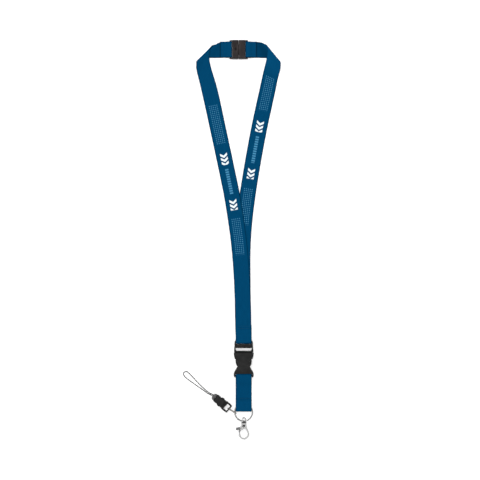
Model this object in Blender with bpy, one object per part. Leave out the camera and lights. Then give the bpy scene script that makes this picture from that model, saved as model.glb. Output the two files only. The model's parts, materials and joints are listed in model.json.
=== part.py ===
"""Promotional neck lanyard lying flat on a table.

A 20 mm ribbon loop with a breakaway clasp at the neck, joined at a side
release buckle that carries a short drop strap, a split ring, a swivel
trigger hook and a small quick release buckle with a phone cord.

Lengths below are in millimetres and MM turns them into metres.
+X is to the wearer's left hand side of the flat lanyard, +Y runs towards the
neck and +Z points up from the table, which is at Z = 0.
"""
import math

import bmesh
import bpy
from mathutils import Matrix, Vector

MM = 0.001
GAP = 0.3                    # running gap between neighbouring pieces

# ribbon
RIBBON_W = 20.0
RIBBON_T = 1.0
LAYER = RIBBON_T + GAP       # rise from one ribbon layer to the next
Z1 = RIBBON_T / 2            # mid height of the first, second and third layer
Z2 = Z1 + LAYER
Z3 = Z2 + LAYER
HALF = RIBBON_W / 2

# breakaway clasp at the neck
NECK_Y = 238.6               # centre line of the neck ribbon
CLASP_X = 0.3                # where the two halves meet
CLASP_H = 23.4               # size along Y
CLASP_T = 5.1
CLASP_BLOCK = 7.6            # length of each half's solid block
CLASP_SLOT = 1.9             # between block and webbing bar
CLASP_BAR = 1.8
RAIL_T = 1.3

# main buckle and everything below it share this axis
DROP_X = 6.5
MALE_TOP_Y = -126.4
BAR_Y = -128.5               # webbing bar of the upper half
BAR_R = 1.1
BAR_Z = RIBBON_T + GAP + BAR_R
BUCKLE_T = 8.0
BASE_Y = -139.8              # top face of the upper half's base plate
COLLAR_Y = -141.5            # mouth of the lower half
WINDOW_TOP_Y = -149.6
WINDOW_END_Y = -159.6
FEMALE_END_Y = -173.0
FEMALE_BAR_Y = -170.7
ARM_ROOT = (6.9, -142.6)     # flexing point of a prong, beside the axis
SEAM_Y = -110.0              # sewn seam where the two neck ribbons join

# split ring and hook
RING_Y = -216.6
RING_R = 11.1                # to the middle of the wire
RING_WIRE = 0.75
RING_Z = 2.9
POUCH_Y = -216.0             # lower fold of the drop strap
STITCH_Y = -201.2
HOOK_X = 6.8
HOOK_Z = 3.1
EYE_TURN = math.radians(48)
HOOK_T = 3.2
PIVOT = (-3.9, -236.6)       # gate pin, beside the hook's axis
PIN_R = 0.55

# small quick release buckle
MINI_BAR = (-12.0, -212.4)   # centre of its end bar
MINI_DIR = Vector((-0.765, 0.644, 0.0)).normalized()
MINI_Z = 2.75
MINI_T = 5.2
LINK_SIZE = (13.3, 6.05)     # outer length and width of the wire link
LINK_WIRE = 0.4
LINK_HEADING = math.radians(328.3)
LINK_TILT = math.radians(72.9)
LINK_CENTRE = (4.6, 2.94)    # along its heading from the end bar, and height
CORD_R = 0.55
CORD_APART = 0.72            # each run of the cord, beside the cap's middle


# ---------------------------------------------------------------- helpers

def clear_scene():
    for item in list(bpy.data.objects):
        bpy.data.objects.remove(item, do_unlink=True)


def material(name, colour, roughness, metallic=0.0):
    mat = bpy.data.materials.new(name)
    mat.use_nodes = True
    shader = mat.node_tree.nodes["Principled BSDF"]
    shader.inputs["Base Color"].default_value = (*colour, 1.0)
    shader.inputs["Roughness"].default_value = roughness
    shader.inputs["Metallic"].default_value = metallic
    return mat


def finish_mesh(name, bm, mat, origin=(0, 0, 0), smooth=True):
    """Turn a bmesh in millimetres into an object with its own origin."""
    bmesh.ops.recalc_face_normals(bm, faces=bm.faces)
    shift = Matrix.Translation(-Vector(origin))
    bmesh.ops.transform(bm, matrix=Matrix.Scale(MM, 4) @ shift, verts=bm.verts)
    mesh = bpy.data.meshes.new(name)
    bm.to_mesh(mesh)
    bm.free()
    if smooth:
        mesh.shade_smooth()
        mesh.set_sharp_from_angle(angle=math.radians(35))
    obj = bpy.data.objects.new(name, mesh)
    obj.location = Vector(origin) * MM
    bpy.context.scene.collection.objects.link(obj)
    if mat is not None:
        mesh.materials.append(mat)
    return obj


def prism(bm, outline, z0, z1, place=None):
    """Extrude an outline of (x, y) points from z0 to z1."""
    base = [bm.verts.new((x, y, z0)) for x, y in outline]
    face = bm.faces.new(base)
    result = bmesh.ops.extrude_face_region(bm, geom=[face])
    top = [g for g in result["geom"] if isinstance(g, bmesh.types.BMVert)]
    bmesh.ops.translate(bm, verts=top, vec=(0, 0, z1 - z0))
    if place is not None:
        bmesh.ops.transform(bm, matrix=place, verts=base + top)
    return base + top


def box(bm, x0, x1, y0, y1, z0, z1, place=None):
    return prism(bm, [(x0, y0), (x1, y0), (x1, y1), (x0, y1)], z0, z1, place)


def rounded(x0, x1, y0, y1, radius, steps=4):
    """Outline of a rectangle with round corners."""
    points = []
    corners = ((x1, y1, 0), (x0, y1, 90), (x0, y0, 180), (x1, y0, 270))
    for cx, cy, start in corners:
        sx = -radius if cx == x1 else radius
        sy = -radius if cy == y1 else radius
        for i in range(steps + 1):
            a = math.radians(start + 90 * i / steps)
            points.append((cx + sx + radius * math.cos(a), cy + sy + radius * math.sin(a)))
    return points


def mirrored(half):
    """Close an outline that is given for its right side, top to bottom."""
    return [(x, y) for x, y in half] + [(-x, y) for x, y in reversed(half)]


def shifted(outline, dx):
    return [(x + dx, y) for x, y in outline]


def cylinder(bm, start, end, radius, sides=20):
    start, end = Vector(start), Vector(end)
    axis = end - start
    turn = Vector((0, 0, 1)).rotation_difference(axis.normalized()).to_matrix().to_4x4()
    place = Matrix.Translation((start + end) / 2) @ turn
    bmesh.ops.create_cone(bm, cap_ends=True, segments=sides, radius1=radius,
                          radius2=radius, depth=axis.length, matrix=place)


def smooth_route(points, steps, closed=False):
    """Centripetal Catmull-Rom curve through points of any dimension."""
    pts = [Vector(p) for p in points]
    count = len(pts)
    out = []
    spans = count if closed else count - 1
    for i in range(spans):
        if closed:
            p0, p1, p2, p3 = (pts[(i + k) % count] for k in (-1, 0, 1, 2))
        else:
            p1, p2 = pts[i], pts[i + 1]
            p0 = pts[i - 1] if i > 0 else p1 * 2 - p2
            p3 = pts[i + 2] if i + 2 < count else p2 * 2 - p1
        t0 = 0.0
        t1 = t0 + max((p1 - p0).length, 1e-6) ** 0.5
        t2 = t1 + max((p2 - p1).length, 1e-6) ** 0.5
        t3 = t2 + max((p3 - p2).length, 1e-6) ** 0.5
        for k in range(steps):
            t = t1 + (t2 - t1) * k / steps
            a1 = p0 * ((t1 - t) / (t1 - t0)) + p1 * ((t - t0) / (t1 - t0))
            a2 = p1 * ((t2 - t) / (t2 - t1)) + p2 * ((t - t1) / (t2 - t1))
            a3 = p2 * ((t3 - t) / (t3 - t2)) + p3 * ((t - t2) / (t3 - t2))
            b1 = a1 * ((t2 - t) / (t2 - t0)) + a2 * ((t - t0) / (t2 - t0))
            b2 = a2 * ((t3 - t) / (t3 - t1)) + a3 * ((t - t1) / (t3 - t1))
            out.append(b1 * ((t2 - t) / (t2 - t1)) + b2 * ((t - t1) / (t2 - t1)))
    if not closed:
        out.append(pts[-1])
    return out


def sweep(bm, centres, radius, sides=10, closed=False, flat=1.0):
    """Tube along a list of points. flat squeezes its height along Z."""
    pts = [Vector(p) for p in centres]
    count = len(pts)
    rings = []
    for i, p in enumerate(pts):
        before = pts[i - 1] if (i > 0 or closed) else p
        after = pts[(i + 1) % count] if (i < count - 1 or closed) else p
        along = (after - before).normalized()
        side = along.cross(Vector((0, 0, 1)))
        if side.length < 1e-4:
            side = Vector((1, 0, 0))
        side.normalize()
        up = side.cross(along).normalized()
        ring = []
        for k in range(sides):
            a = 2 * math.pi * (k + 0.5) / sides
            out = side * math.cos(a) + up * flat * math.sin(a)
            ring.append(bm.verts.new(p + out * radius))
        rings.append(ring)
    pairs = count if closed else count - 1
    for i in range(pairs):
        r0, r1 = rings[i], rings[(i + 1) % count]
        for k in range(sides):
            m = (k + 1) % sides
            bm.faces.new((r0[k], r0[m], r1[m], r1[k]))
    if not closed:
        bm.faces.new(rings[0])
        bm.faces.new(rings[-1])


def oval_loop(length, width, wire, steps=10):
    """Centre line of a stadium shaped wire link, long axis along X."""
    r = width / 2 - wire
    half = length / 2 - wire - r
    points = []
    for cx, start in ((half, -90), (-half, 90)):
        for i in range(steps + 1):
            a = math.radians(start + 180 * i / steps)
            points.append(Vector((cx + r * math.cos(a), r * math.sin(a), 0)))
    return points


def modifier_cut(target, cutter, operation="DIFFERENCE"):
    cutter.hide_render = True
    cutter.display_type = "WIRE"
    cut = target.modifiers.new(operation.title(), "BOOLEAN")
    cut.operation = operation
    cut.object = cutter
    return cut


def bevel(obj, width, segments=2, angle=35):
    mod = obj.modifiers.new("Edges", "BEVEL")
    mod.width = width * MM
    mod.segments = segments
    mod.limit_method = "ANGLE"
    mod.angle_limit = math.radians(angle)


# ---------------------------------------------------------------- ribbons

def edges(x, y, z, heading, half=HALF):
    """The two edge points of a flat ribbon crossing, edge A on its left."""
    a = math.radians(heading)
    left = Vector((-math.sin(a), math.cos(a), 0)) * half
    centre = Vector((x, y, z))
    return (*(centre + left), *(centre - left))


def neck_part(side, bar_x, tail_x):
    """Sewn tail, wrap round the clasp's bar and the neck ribbon.

    side is -1 for the left ribbon and +1 for the right one. Edge A is the
    far (+Y) edge, which turns into the strand's inner edge at the corner.
    """
    def across(x, z):
        return (x, NECK_Y + HALF, z, x, NECK_Y - HALF, z)

    reach = CLASP_BAR / 2 + GAP + RIBBON_T / 2
    z_bar = RIBBON_T + GAP + CLASP_BAR / 2
    top = z_bar + reach
    stations = [across(tail_x, Z2), across(tail_x - side * 2.2, Z2),
                across(bar_x + side * 6.9, Z2),
                across(bar_x + side * 3.8, top - 0.7)]
    for i in range(7):
        a = math.pi / 2 - math.pi * i / 6
        x = bar_x - side * reach * math.cos(a)
        stations.append(across(x, z_bar + reach * math.sin(a)))
    stations.append(across(bar_x + side * 6.0, Z1))
    return stations


def corner(a_in, b_in, a_out, b_out, rise=3.0, turns=6):
    """Soft fold where the ribbon turns over towards the strand."""
    a_in, b_in, a_out, b_out = (Vector(p) for p in (a_in, b_in, a_out, b_out))
    along = ((b_in - a_in) + (b_out - a_out)).normalized()
    outward = Vector((along.y, -along.x))
    if outward.y < 0:
        outward = -outward
    radius = rise / 2
    inner_bulge = 0.35           # the fold is pressed flatter at its inner end
    stations = []
    for i in range(turns + 1):
        f = i / turns
        turn = math.pi * (f - 0.5)
        out = outward * radius * math.cos(turn)
        z = Z1 + radius * (1 + math.sin(turn))
        a = a_in.lerp(a_out, f) + out * inner_bulge
        b = b_in.lerp(b_out, f) + out
        stations.append((a.x, a.y, z, b.x, b.y, z))
    return stations


def ribbon(name, stations, mat, steps=1, closed=False):
    """Closed slab of ribbon through pairs of edge points."""
    a_edge = smooth_route([s[:3] for s in stations], steps, closed)
    b_edge = smooth_route([s[3:] for s in stations], steps, closed)
    count = len(a_edge)
    bm = bmesh.new()
    rows = []
    for i in range(count):
        lo, hi = (i - 1, (i + 1) % count) if closed else (max(i - 1, 0), min(i + 1, count - 1))
        along = (a_edge[hi] - a_edge[lo] + b_edge[hi] - b_edge[lo]).normalized()
        across = (b_edge[i] - a_edge[i]).normalized()
        normal = across.cross(along).normalized() * (RIBBON_T / 2)
        corners = (a_edge[i] + normal, b_edge[i] + normal, b_edge[i] - normal, a_edge[i] - normal)
        rows.append([bm.verts.new((p.x, p.y, max(p.z, 0.0))) for p in corners])
    for i in range(count if closed else count - 1):
        r0, r1 = rows[i], rows[(i + 1) % count]
        for k in range(4):
            m = (k + 1) % 4
            bm.faces.new((r0[k], r0[m], r1[m], r1[k]))
    if not closed:
        bm.faces.new(rows[0])
        bm.faces.new(rows[-1])
    return finish_mesh(name, bm, mat)


def left_strand():
    """From the corner to the crossing: centre x, y, z and heading."""
    return [edges(-36.9, 190.0, Z1, 282.4), edges(-25.4, 137.8, Z1, 282.4),
            edges(-15.6, 92.0, Z1, 281.8), edges(-11.2, 71.0, Z1 + 0.6, 281.5),
            edges(-8.6, 58.0, Z2, 281.2), edges(-4.3, 32.0, Z2, 279.5),
            edges(-0.6, 6.0, Z2, 277.0), edges(2.0, -18.0, Z2, 275.0),
            edges(4.0, -45.0, Z2, 274.0), edges(5.2, -72.0, Z2, 272.0),
            edges(5.8, -88.0, Z2, 270.5), edges(5.9, -98.0, Z3 - 0.1, 270.0),
            edges(6.0, SEAM_Y + 3.5, Z3, 270.0),
            edges(6.1, SEAM_Y - 3.5, Z3, 270.0)]


def right_strand():
    return [edges(36.9, 190.0, Z1, 258.5), edges(25.6, 137.8, Z1, 258.5),
            edges(15.5, 82.0, Z1, 259.2), edges(10.3, 47.3, Z1, 261.5),
            edges(6.9, 17.1, Z1, 264.5), edges(5.2, -13.0, Z1, 268.0),
            edges(5.2, -50.0, Z1, 270.0), edges(5.6, -96.0, Z1, 270.0),
            edges(5.9, SEAM_Y + 5.5, Z2, 270.0), edges(6.0, SEAM_Y + 0.3, Z2, 270.0)]


def left_bar_loop():
    """Over the buckle's bar and back beneath as a sewn tail."""
    def across(y, z):
        return (DROP_X + HALF, y, z, DROP_X - HALF, y, z)

    reach = BAR_R + GAP + RIBBON_T / 2
    stations = [across(BAR_Y + 6.5, BAR_Z + reach - 0.5)]
    for i in range(7):
        a = math.pi / 2 - math.pi * i / 6
        stations.append(across(BAR_Y - reach * math.cos(a), BAR_Z + reach * math.sin(a)))
    stations += [across(BAR_Y + 6.5, Z1), across(SEAM_Y + 2.6, Z1)]
    return stations


def make_straps(fabric):
    bar_left = CLASP_X - GAP / 2 - CLASP_BLOCK - CLASP_SLOT - CLASP_BAR / 2
    bar_right = 2 * CLASP_X - bar_left
    left = neck_part(-1, bar_left, -23.4)
    left += [(-21.0, 248.2, Z1, -30.0, 228.3, Z1), (-25.0, 247.3, Z1, -40.5, 228.0, Z1)]
    left += corner((-28.6, 245.4), (-50.2, 225.9), (-34.4, 242.2), (-53.0, 219.2))
    left += [(-36.3, 236.2, 2.9, -53.2, 216.2, 2.7), (-36.9, 229.0, 2.2, -52.7, 213.0, 1.7),
             (-35.8, 221.5, 1.4, -51.8, 208.8, 1.0), (-33.5, 213.0, 0.9, -50.6, 204.0, 0.6)]
    left += left_strand() + left_bar_loop()
    ribbon("left_strap", left, fabric, steps=2)

    right = neck_part(1, bar_right, 23.3)
    right += [(25.5, 248.3, Z1, 32.0, 228.3, Z1), (29.5, 247.6, Z1, 41.5, 228.0, Z1)]
    right += corner((32.8, 246.0), (50.2, 225.2), (35.9, 242.6), (52.8, 218.8))
    right += [(36.6, 236.6, 2.9, 52.8, 215.4, 2.7), (35.8, 229.2, 2.2, 52.3, 212.2, 1.7),
              (34.1, 221.8, 1.4, 51.1, 208.0, 1.0), (32.0, 214.0, 0.9, 49.8, 203.6, 0.6)]
    # edge A lies on the other side of the right strand's own heading
    strand = [(*s[3:], *s[:3]) for s in right_strand()]
    ribbon("right_strap", right + strand, fabric, steps=2)


# ---------------------------------------------------------------- breakaway clasp

def clasp_half(name, side, mat):
    """One half of the clasp. side -1 is the socket, +1 the plug."""
    y0, y1 = NECK_Y - CLASP_H / 2, NECK_Y + CLASP_H / 2
    face = CLASP_X + side * GAP / 2
    block = face + side * CLASP_BLOCK
    bar_in = block + side * CLASP_SLOT
    bar_out = bar_in + side * CLASP_BAR
    bar_z0 = RIBBON_T + GAP
    bm = bmesh.new()
    box(bm, *sorted((face, block)), y0, y1, 0.0, CLASP_T)
    body = finish_mesh(name, bm, mat)
    frame = bmesh.new()
    rail_z = (bar_z0 - 0.4, bar_z0 + CLASP_BAR + 0.6)
    for ya, yb in ((y0, y0 + RAIL_T), (y1 - RAIL_T, y1)):
        box(frame, *sorted((block - side * 1.0, bar_out)), ya, yb, *rail_z)
    rails = finish_mesh(name + "_rails", frame, None)
    modifier_cut(body, rails, "UNION")
    beam = bmesh.new()
    mid_x, mid_z = (bar_in + bar_out) / 2, bar_z0 + CLASP_BAR / 2
    cylinder(beam, (mid_x, y0 + 0.5, mid_z), (mid_x, y1 - 0.5, mid_z), CLASP_BAR / 2, 16)
    modifier_cut(body, finish_mesh(name + "_beam", beam, None), "UNION")
    tongue_half, tongue_len, tongue_z = 6.4, 5.4, (1.7, 3.5)
    if side < 0:
        pocket = bmesh.new()
        box(pocket, face - tongue_len - 0.6, face + 1.0, NECK_Y - tongue_half - GAP,
            NECK_Y + tongue_half + GAP, tongue_z[0] - GAP, tongue_z[1] + GAP)
        modifier_cut(body, finish_mesh(name + "_pocket", pocket, None))
        snap = bmesh.new()
        prism(snap, rounded(face - 4.6, face - 2.2, NECK_Y - 2.8, NECK_Y + 2.8, 1.1), 3.0, 6.0)
        modifier_cut(body, finish_mesh(name + "_snap", snap, None))
    else:
        tongue = bmesh.new()
        mid = NECK_Y
        outline = [(face + 1.0, mid - tongue_half), (face + 1.0, mid + tongue_half),
                   (face - tongue_len + 1.2, mid + tongue_half),
                   (face - tongue_len, mid + tongue_half - 1.2),
                   (face - tongue_len, mid + 1.6), (face - 1.6, mid + 1.2),
                   (face - 1.6, mid - 1.2), (face - tongue_len, mid - 1.6),
                   (face - tongue_len, mid - tongue_half + 1.2),
                   (face - tongue_len + 1.2, mid - tongue_half)]
        prism(tongue, outline, *tongue_z)
        modifier_cut(body, finish_mesh(name + "_tongue", tongue, None), "UNION")
    bevel(body, 0.35, 1)
    return body


# ---------------------------------------------------------------- side release buckle

def male_outline():
    half = [(9.6, MALE_TOP_Y), (10.8, MALE_TOP_Y - 0.6), (11.4, MALE_TOP_Y - 2.6),
            (11.6, -133.5), (12.0, BASE_Y), (12.0, COLLAR_Y + GAP)]
    return shifted(mirrored(half), DROP_X)


def make_male(mat):
    bm = bmesh.new()
    prism(bm, male_outline(), 0.8, 6.6)
    body = finish_mesh("buckle_male", bm, mat, (DROP_X, BAR_Y, BAR_Z))
    loop = bmesh.new()
    prism(loop, shifted(rounded(-10.35, 10.35, -131.7, -120.0, 0.5, 2), DROP_X), -1, 9)
    modifier_cut(body, finish_mesh("male_loop_slot", loop, None))
    bar = bmesh.new()
    cylinder(bar, (DROP_X - 10.7, BAR_Y, BAR_Z), (DROP_X + 10.7, BAR_Y, BAR_Z), BAR_R)
    modifier_cut(body, finish_mesh("male_bar", bar, None), "UNION")
    window = bmesh.new()
    corners = [(10.3, -135.9), (10.3, -137.4), (9.4, -138.9), (8.4, -139.5)]
    prism(window, shifted(mirrored(corners), DROP_X), -1, 9)
    modifier_cut(body, finish_mesh("male_window", window, None))
    teeth = bmesh.new()
    pitch = 3.0
    for i in range(-3, 4):
        x = DROP_X + i * pitch
        box(teeth, x - 0.6, x + 0.6, -136.4, -131.2, 5.7, 9.0)
    modifier_cut(body, finish_mesh("male_grooves", teeth, None))
    guide = bmesh.new()
    spine = [(2.4, COLLAR_Y + 1.0), (2.4, -155.0), (1.4, -157.5)]
    prism(guide, shifted(mirrored(spine), DROP_X), 2.6, 5.4)
    for side in (-1, 1):
        foot = [(DROP_X + side * 5.9, COLLAR_Y + 1.0), (DROP_X + side * 7.9, COLLAR_Y + 1.0),
                (DROP_X + side * 7.9, ARM_ROOT[1] + 0.6), (DROP_X + side * 5.9, ARM_ROOT[1] + 0.6)]
        prism(guide, foot, 2.6, 5.4)
    modifier_cut(body, finish_mesh("male_guide", guide, None), "UNION")
    bevel(body, 0.3, 1)


def make_arm(name, side, mat):
    """A flexing prong with the pad that the finger squeezes."""
    root_y = ARM_ROOT[1] + 0.3
    outline = [(5.95, root_y), (7.85, root_y), (8.0, WINDOW_TOP_Y + 1.2), (8.3, WINDOW_TOP_Y - 0.4),
               (9.6, WINDOW_TOP_Y - 0.45), (10.1, -151.2), (10.15, -152.8), (9.7, -155.6),
               (8.9, -157.6), (7.9, -158.9), (6.9, -159.1), (6.2, -158.0), (6.1, -150.5)]
    bm = bmesh.new()
    points = [(DROP_X + side * x, y) for x, y in outline]
    prism(bm, points, 2.3, 5.7)
    arm = finish_mesh(name, bm, mat, (DROP_X + side * ARM_ROOT[0], ARM_ROOT[1], 4.0))
    bevel(arm, 0.3, 1)


def make_female(mat):
    half = [(11.4, COLLAR_Y), (12.3, COLLAR_Y - 0.7), (12.2, -145.0), (11.5, -148.2),
            (10.8, WINDOW_TOP_Y), (8.9, -151.0), (7.6, -154.0), (7.4, -157.2),
            (8.2, WINDOW_END_Y - 0.2), (9.6, -162.3), (11.4, -165.2), (12.3, -168.0),
            (12.4, -170.4), (11.8, -172.2), (10.6, FEMALE_END_Y)]
    bm = bmesh.new()
    prism(bm, shifted(mirrored(half), DROP_X), 0.0, BUCKLE_T)
    body = finish_mesh("buckle_female", bm, mat, (DROP_X, COLLAR_Y, 4.0))
    pocket = bmesh.new()
    box(pocket, DROP_X - 9.6, DROP_X + 9.6, WINDOW_TOP_Y + 1.0, COLLAR_Y + 1, 1.7, 6.3)
    box(pocket, DROP_X - 13.0, DROP_X + 13.0, WINDOW_END_Y, WINDOW_TOP_Y, 1.7, 6.3)
    mouth = finish_mesh("female_pocket", pocket, None)
    modifier_cut(body, mouth)
    throat = bmesh.new()
    box(throat, DROP_X - 8.3, DROP_X + 8.3, WINDOW_TOP_Y - 1.0, WINDOW_TOP_Y + 2.0, 1.7, 6.3)
    modifier_cut(body, finish_mesh("female_throat", throat, None))
    slot = bmesh.new()
    prism(slot, shifted(rounded(-10.4, 10.4, -180.0, -166.9, 0.5, 2), DROP_X), -1, 9)
    modifier_cut(body, finish_mesh("female_slot", slot, None))
    bar = bmesh.new()
    bar_ends = [(DROP_X + side * 10.8, FEMALE_BAR_Y, BAR_Z) for side in (-1, 1)]
    cylinder(bar, *bar_ends, BAR_R)
    modifier_cut(body, finish_mesh("female_bar", bar, None), "UNION")
    ramp = bmesh.new()
    slope = [(-166.6, BUCKLE_T + 0.6), (-166.6, 5.6), (-178, 3.9), (-178, BUCKLE_T + 0.6)]
    verts = [(DROP_X - 14, y, z) for y, z in slope], [(DROP_X + 14, y, z) for y, z in slope]
    left = [ramp.verts.new(v) for v in verts[0]]
    right = [ramp.verts.new(v) for v in verts[1]]
    ramp.faces.new(left)
    ramp.faces.new(right)
    for k in range(4):
        m = (k + 1) % 4
        ramp.faces.new((left[k], left[m], right[m], right[k]))
    modifier_cut(body, finish_mesh("female_ramp", ramp, None))
    bevel(body, 0.45, 2, 50)


# ---------------------------------------------------------------- drop strap and ring

def make_drop_strap(fabric):
    """A belt of ribbon round the buckle's bar and the split ring."""
    def across(y, z):
        return (DROP_X + HALF, y, z, DROP_X - HALF, y, z)

    reach = BAR_R + GAP + RIBBON_T / 2
    stations = []
    for i in range(7):
        a = -math.pi / 2 + math.pi * i / 6
        stations.append(across(FEMALE_BAR_Y + reach * math.cos(a), BAR_Z + reach * math.sin(a)))
    pouch_top = RING_Z + RING_WIRE + GAP + RIBBON_T / 2 + 0.1
    pouch_r = (pouch_top - Z1) / 2
    pouch_z = (pouch_top + Z1) / 2
    stations += [across(-177.0, 3.9), across(-184.0, Z2 + 0.25), across(-190.0, Z2),
                 across(STITCH_Y + 1.0, Z2 + 0.1), across(STITCH_Y - 2.0, pouch_top - 0.2),
                 across(STITCH_Y - 4.0, pouch_top), across(POUCH_Y + 4.0, pouch_top)]
    for i in range(7):
        a = math.pi / 2 + math.pi * i / 6
        y = POUCH_Y + pouch_r + pouch_r * math.cos(a) + RIBBON_T / 2
        stations.append(across(y, pouch_z + pouch_r * math.sin(a)))
    stations += [across(POUCH_Y + 6.0, Z1), across(-200.0, Z1), across(-186.0, Z1)]
    ribbon("drop_strap", stations, fabric, closed=True)


def make_split_ring(metal):
    """Wire wound nearly twice, stepping from the lower turn to the upper."""
    start, end, step, lift = 25, 695, 5, 0.45
    points = []
    for angle in range(start, end + 1, step):
        rise = min(max((angle - 340) / 40, 0.0), 1.0)
        rise = rise * rise * (3 - 2 * rise)
        a = math.radians(angle + 95)
        points.append((DROP_X + RING_R * math.cos(a), RING_Y + RING_R * math.sin(a),
                       RING_Z + lift * (2 * rise - 1)))
    bm = bmesh.new()
    sweep(bm, points, RING_WIRE, 8, flat=0.5)
    finish_mesh("split_ring", bm, metal, (DROP_X, RING_Y, RING_Z))


# ---------------------------------------------------------------- swivel hook

def make_swivel_eye(metal):
    """Wire eye on a headed stem that turns in the hook's barrel."""
    wire, half = 0.65, 2.95
    base_y, arc_y = -228.8, -226.3
    points = [Vector((-2.5, base_y - 0.1, 0)), Vector((-2.85, base_y + 1.0, 0))]
    for i in range(11):
        a = math.radians(180 - 18 * i)
        points.append(Vector((half * math.cos(a), arc_y + half * math.sin(a), 0)))
    points += [Vector((2.85, base_y + 1.0, 0)), Vector((2.5, base_y - 0.1, 0))]
    turn = Matrix.Translation((HOOK_X, 0, HOOK_Z)) @ Matrix.Rotation(EYE_TURN, 4, "Y")
    bm = bmesh.new()
    sweep(bm, points, wire, 8)
    bmesh.ops.transform(bm, matrix=turn, verts=bm.verts)
    eye = finish_mesh("swivel_eye", bm, metal, (HOOK_X, RING_Y - RING_R, RING_Z))
    shaft = ((base_y, base_y - 0.35, 3.0), (base_y - 0.1, -233.0, 1.0), (-232.6, -233.4, 1.6))
    for index, (top, low, radius) in enumerate(shaft):
        stem = bmesh.new()
        cylinder(stem, (HOOK_X, top, HOOK_Z), (HOOK_X, low, HOOK_Z), radius)
        modifier_cut(eye, finish_mesh(f"eye_stem_{index}", stem, None), "UNION")


def hook_profile():
    """Outer and inner outline of the C shaped hook, beside its axis."""
    outer = [(3.0, -231.8), (3.2, -233.5), (4.1, -236.5), (5.3, -239.8), (6.3, -242.2)]
    belly = (0.0, -243.9)
    for i in range(0, 19):
        a = math.radians(10 - 200 * i / 18)
        outer.append((belly[0] + 6.6 * math.cos(a), belly[1] + 6.6 * math.sin(a)))
    inner = []
    for i in range(0, 19):
        a = math.radians(-186 + 196 * i / 18)
        inner.append((belly[0] + 5.0 * math.cos(a), belly[1] + 5.1 * math.sin(a)))
    inner += [(4.6, -241.6), (3.7, -239.4), (2.4, -237.6), (0.6, -236.9), (-1.6, -238.0)]
    boss = [(-2.6, -239.2), (-4.4, -238.6), (-5.3, -237.0), (-4.6, -235.0), (-3.4, -233.4),
            (-3.0, -231.8)]
    return outer + inner + boss


def make_hook(metal):
    z0, z1 = HOOK_Z - HOOK_T / 2, HOOK_Z + HOOK_T / 2
    bm = bmesh.new()
    prism(bm, shifted(hook_profile(), HOOK_X), z0, z1)
    body = finish_mesh("hook_body", bm, metal, (HOOK_X, -230.0, HOOK_Z))
    barrel = bmesh.new()
    cylinder(barrel, (HOOK_X, -229.45, HOOK_Z), (HOOK_X, -232.2, HOOK_Z), 3.05, 24)
    modifier_cut(body, finish_mesh("hook_barrel", barrel, None), "UNION")
    bore = bmesh.new()
    cylinder(bore, (HOOK_X, -228.0, HOOK_Z), (HOOK_X, -233.0, HOOK_Z), 1.3, 16)
    modifier_cut(body, finish_mesh("hook_bore", bore, None))
    window = bmesh.new()
    prism(window, shifted(rounded(-2.0, 2.0, -235.6, -232.2, 0.6, 2), HOOK_X), -1, 8)
    modifier_cut(body, finish_mesh("hook_window", window, None))
    slot = bmesh.new()
    box(slot, HOOK_X - 9.0, HOOK_X - 1.9, -240.5, -234.2, HOOK_Z - 1.1, HOOK_Z + 1.1)
    modifier_cut(body, finish_mesh("hook_ears", slot, None))
    hole = bmesh.new()
    px, py = HOOK_X + PIVOT[0], PIVOT[1]
    cylinder(hole, (px, py, -1), (px, py, 8), PIN_R + 0.05, 16)
    modifier_cut(body, finish_mesh("hook_pin_hole", hole, None))
    seat = bmesh.new()
    box(seat, HOOK_X - 1.6, HOOK_X + 1.6, -249.1, -247, -1, 8)
    modifier_cut(body, finish_mesh("hook_seat", seat, None))
    bevel(body, 0.4, 2, 50)


def make_gate(metal):
    """Sprung gate with the thumb lever, its pin and its spring."""
    px, py = HOOK_X + PIVOT[0], PIVOT[1]
    outline = [(-4.4, -235.2), (-9.2, -236.0), (-9.9, -236.4), (-9.9, -238.3), (-9.2, -238.7),
               (-5.5, -238.6), (-6.1, -240.0), (-6.5, -241.6), (-6.4, -242.3),
               (-5.2, -242.3), (-4.5, -240.4), (-3.4, -238.2), (-2.9, -236.6), (-3.4, -235.5)]
    z0, z1 = HOOK_Z - 0.8, HOOK_Z + 0.2
    bm = bmesh.new()
    prism(bm, shifted(outline, HOOK_X), z0, z1)
    gate = finish_mesh("hook_gate", bm, metal, (px, py, HOOK_Z))
    bore = bmesh.new()
    cylinder(bore, (px, py, -1), (px, py, 8), PIN_R + 0.05, 16)
    modifier_cut(gate, finish_mesh("gate_bore", bore, None))
    bevel(gate, 0.2, 1, 50)
    pin = bmesh.new()
    pin_half = HOOK_T / 2 - 0.1
    cylinder(pin, (px, py, HOOK_Z - pin_half), (px, py, HOOK_Z + pin_half), PIN_R, 16)
    finish_mesh("gate_pin", pin, metal, (px, py, HOOK_Z))
    coil = []
    coil_r, turns, per_turn = 0.86, 1.8, 14
    for i in range(int(turns * per_turn) + 1):
        a = 2 * math.pi * i / per_turn
        x, y = px + coil_r * math.cos(a), py + coil_r * math.sin(a)
        coil.append((x, y, HOOK_Z + 0.45 + 0.2 * i / per_turn))
    spring = bmesh.new()
    sweep(spring, coil, 0.1, 6)
    finish_mesh("gate_spring", spring, metal, (px, py, HOOK_Z))


# ---------------------------------------------------------------- phone loop

def mini_frame():
    """Local axes of the small buckle: x across, y from its bar to its cap."""
    across = MINI_DIR.cross(Vector((0, 0, 1)))
    turn = Matrix((across, MINI_DIR, Vector((0, 0, 1)))).transposed().to_4x4()
    return Matrix.Translation((MINI_BAR[0], MINI_BAR[1], 0)) @ turn


def placed(name, bm, mat, local_origin=(0, 0, 0)):
    """Like finish_mesh, for a mesh drawn in the small buckle's own axes."""
    place = mini_frame()
    bmesh.ops.transform(bm, matrix=place, verts=bm.verts)
    return finish_mesh(name, bm, mat, tuple(place @ Vector(local_origin)))


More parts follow.
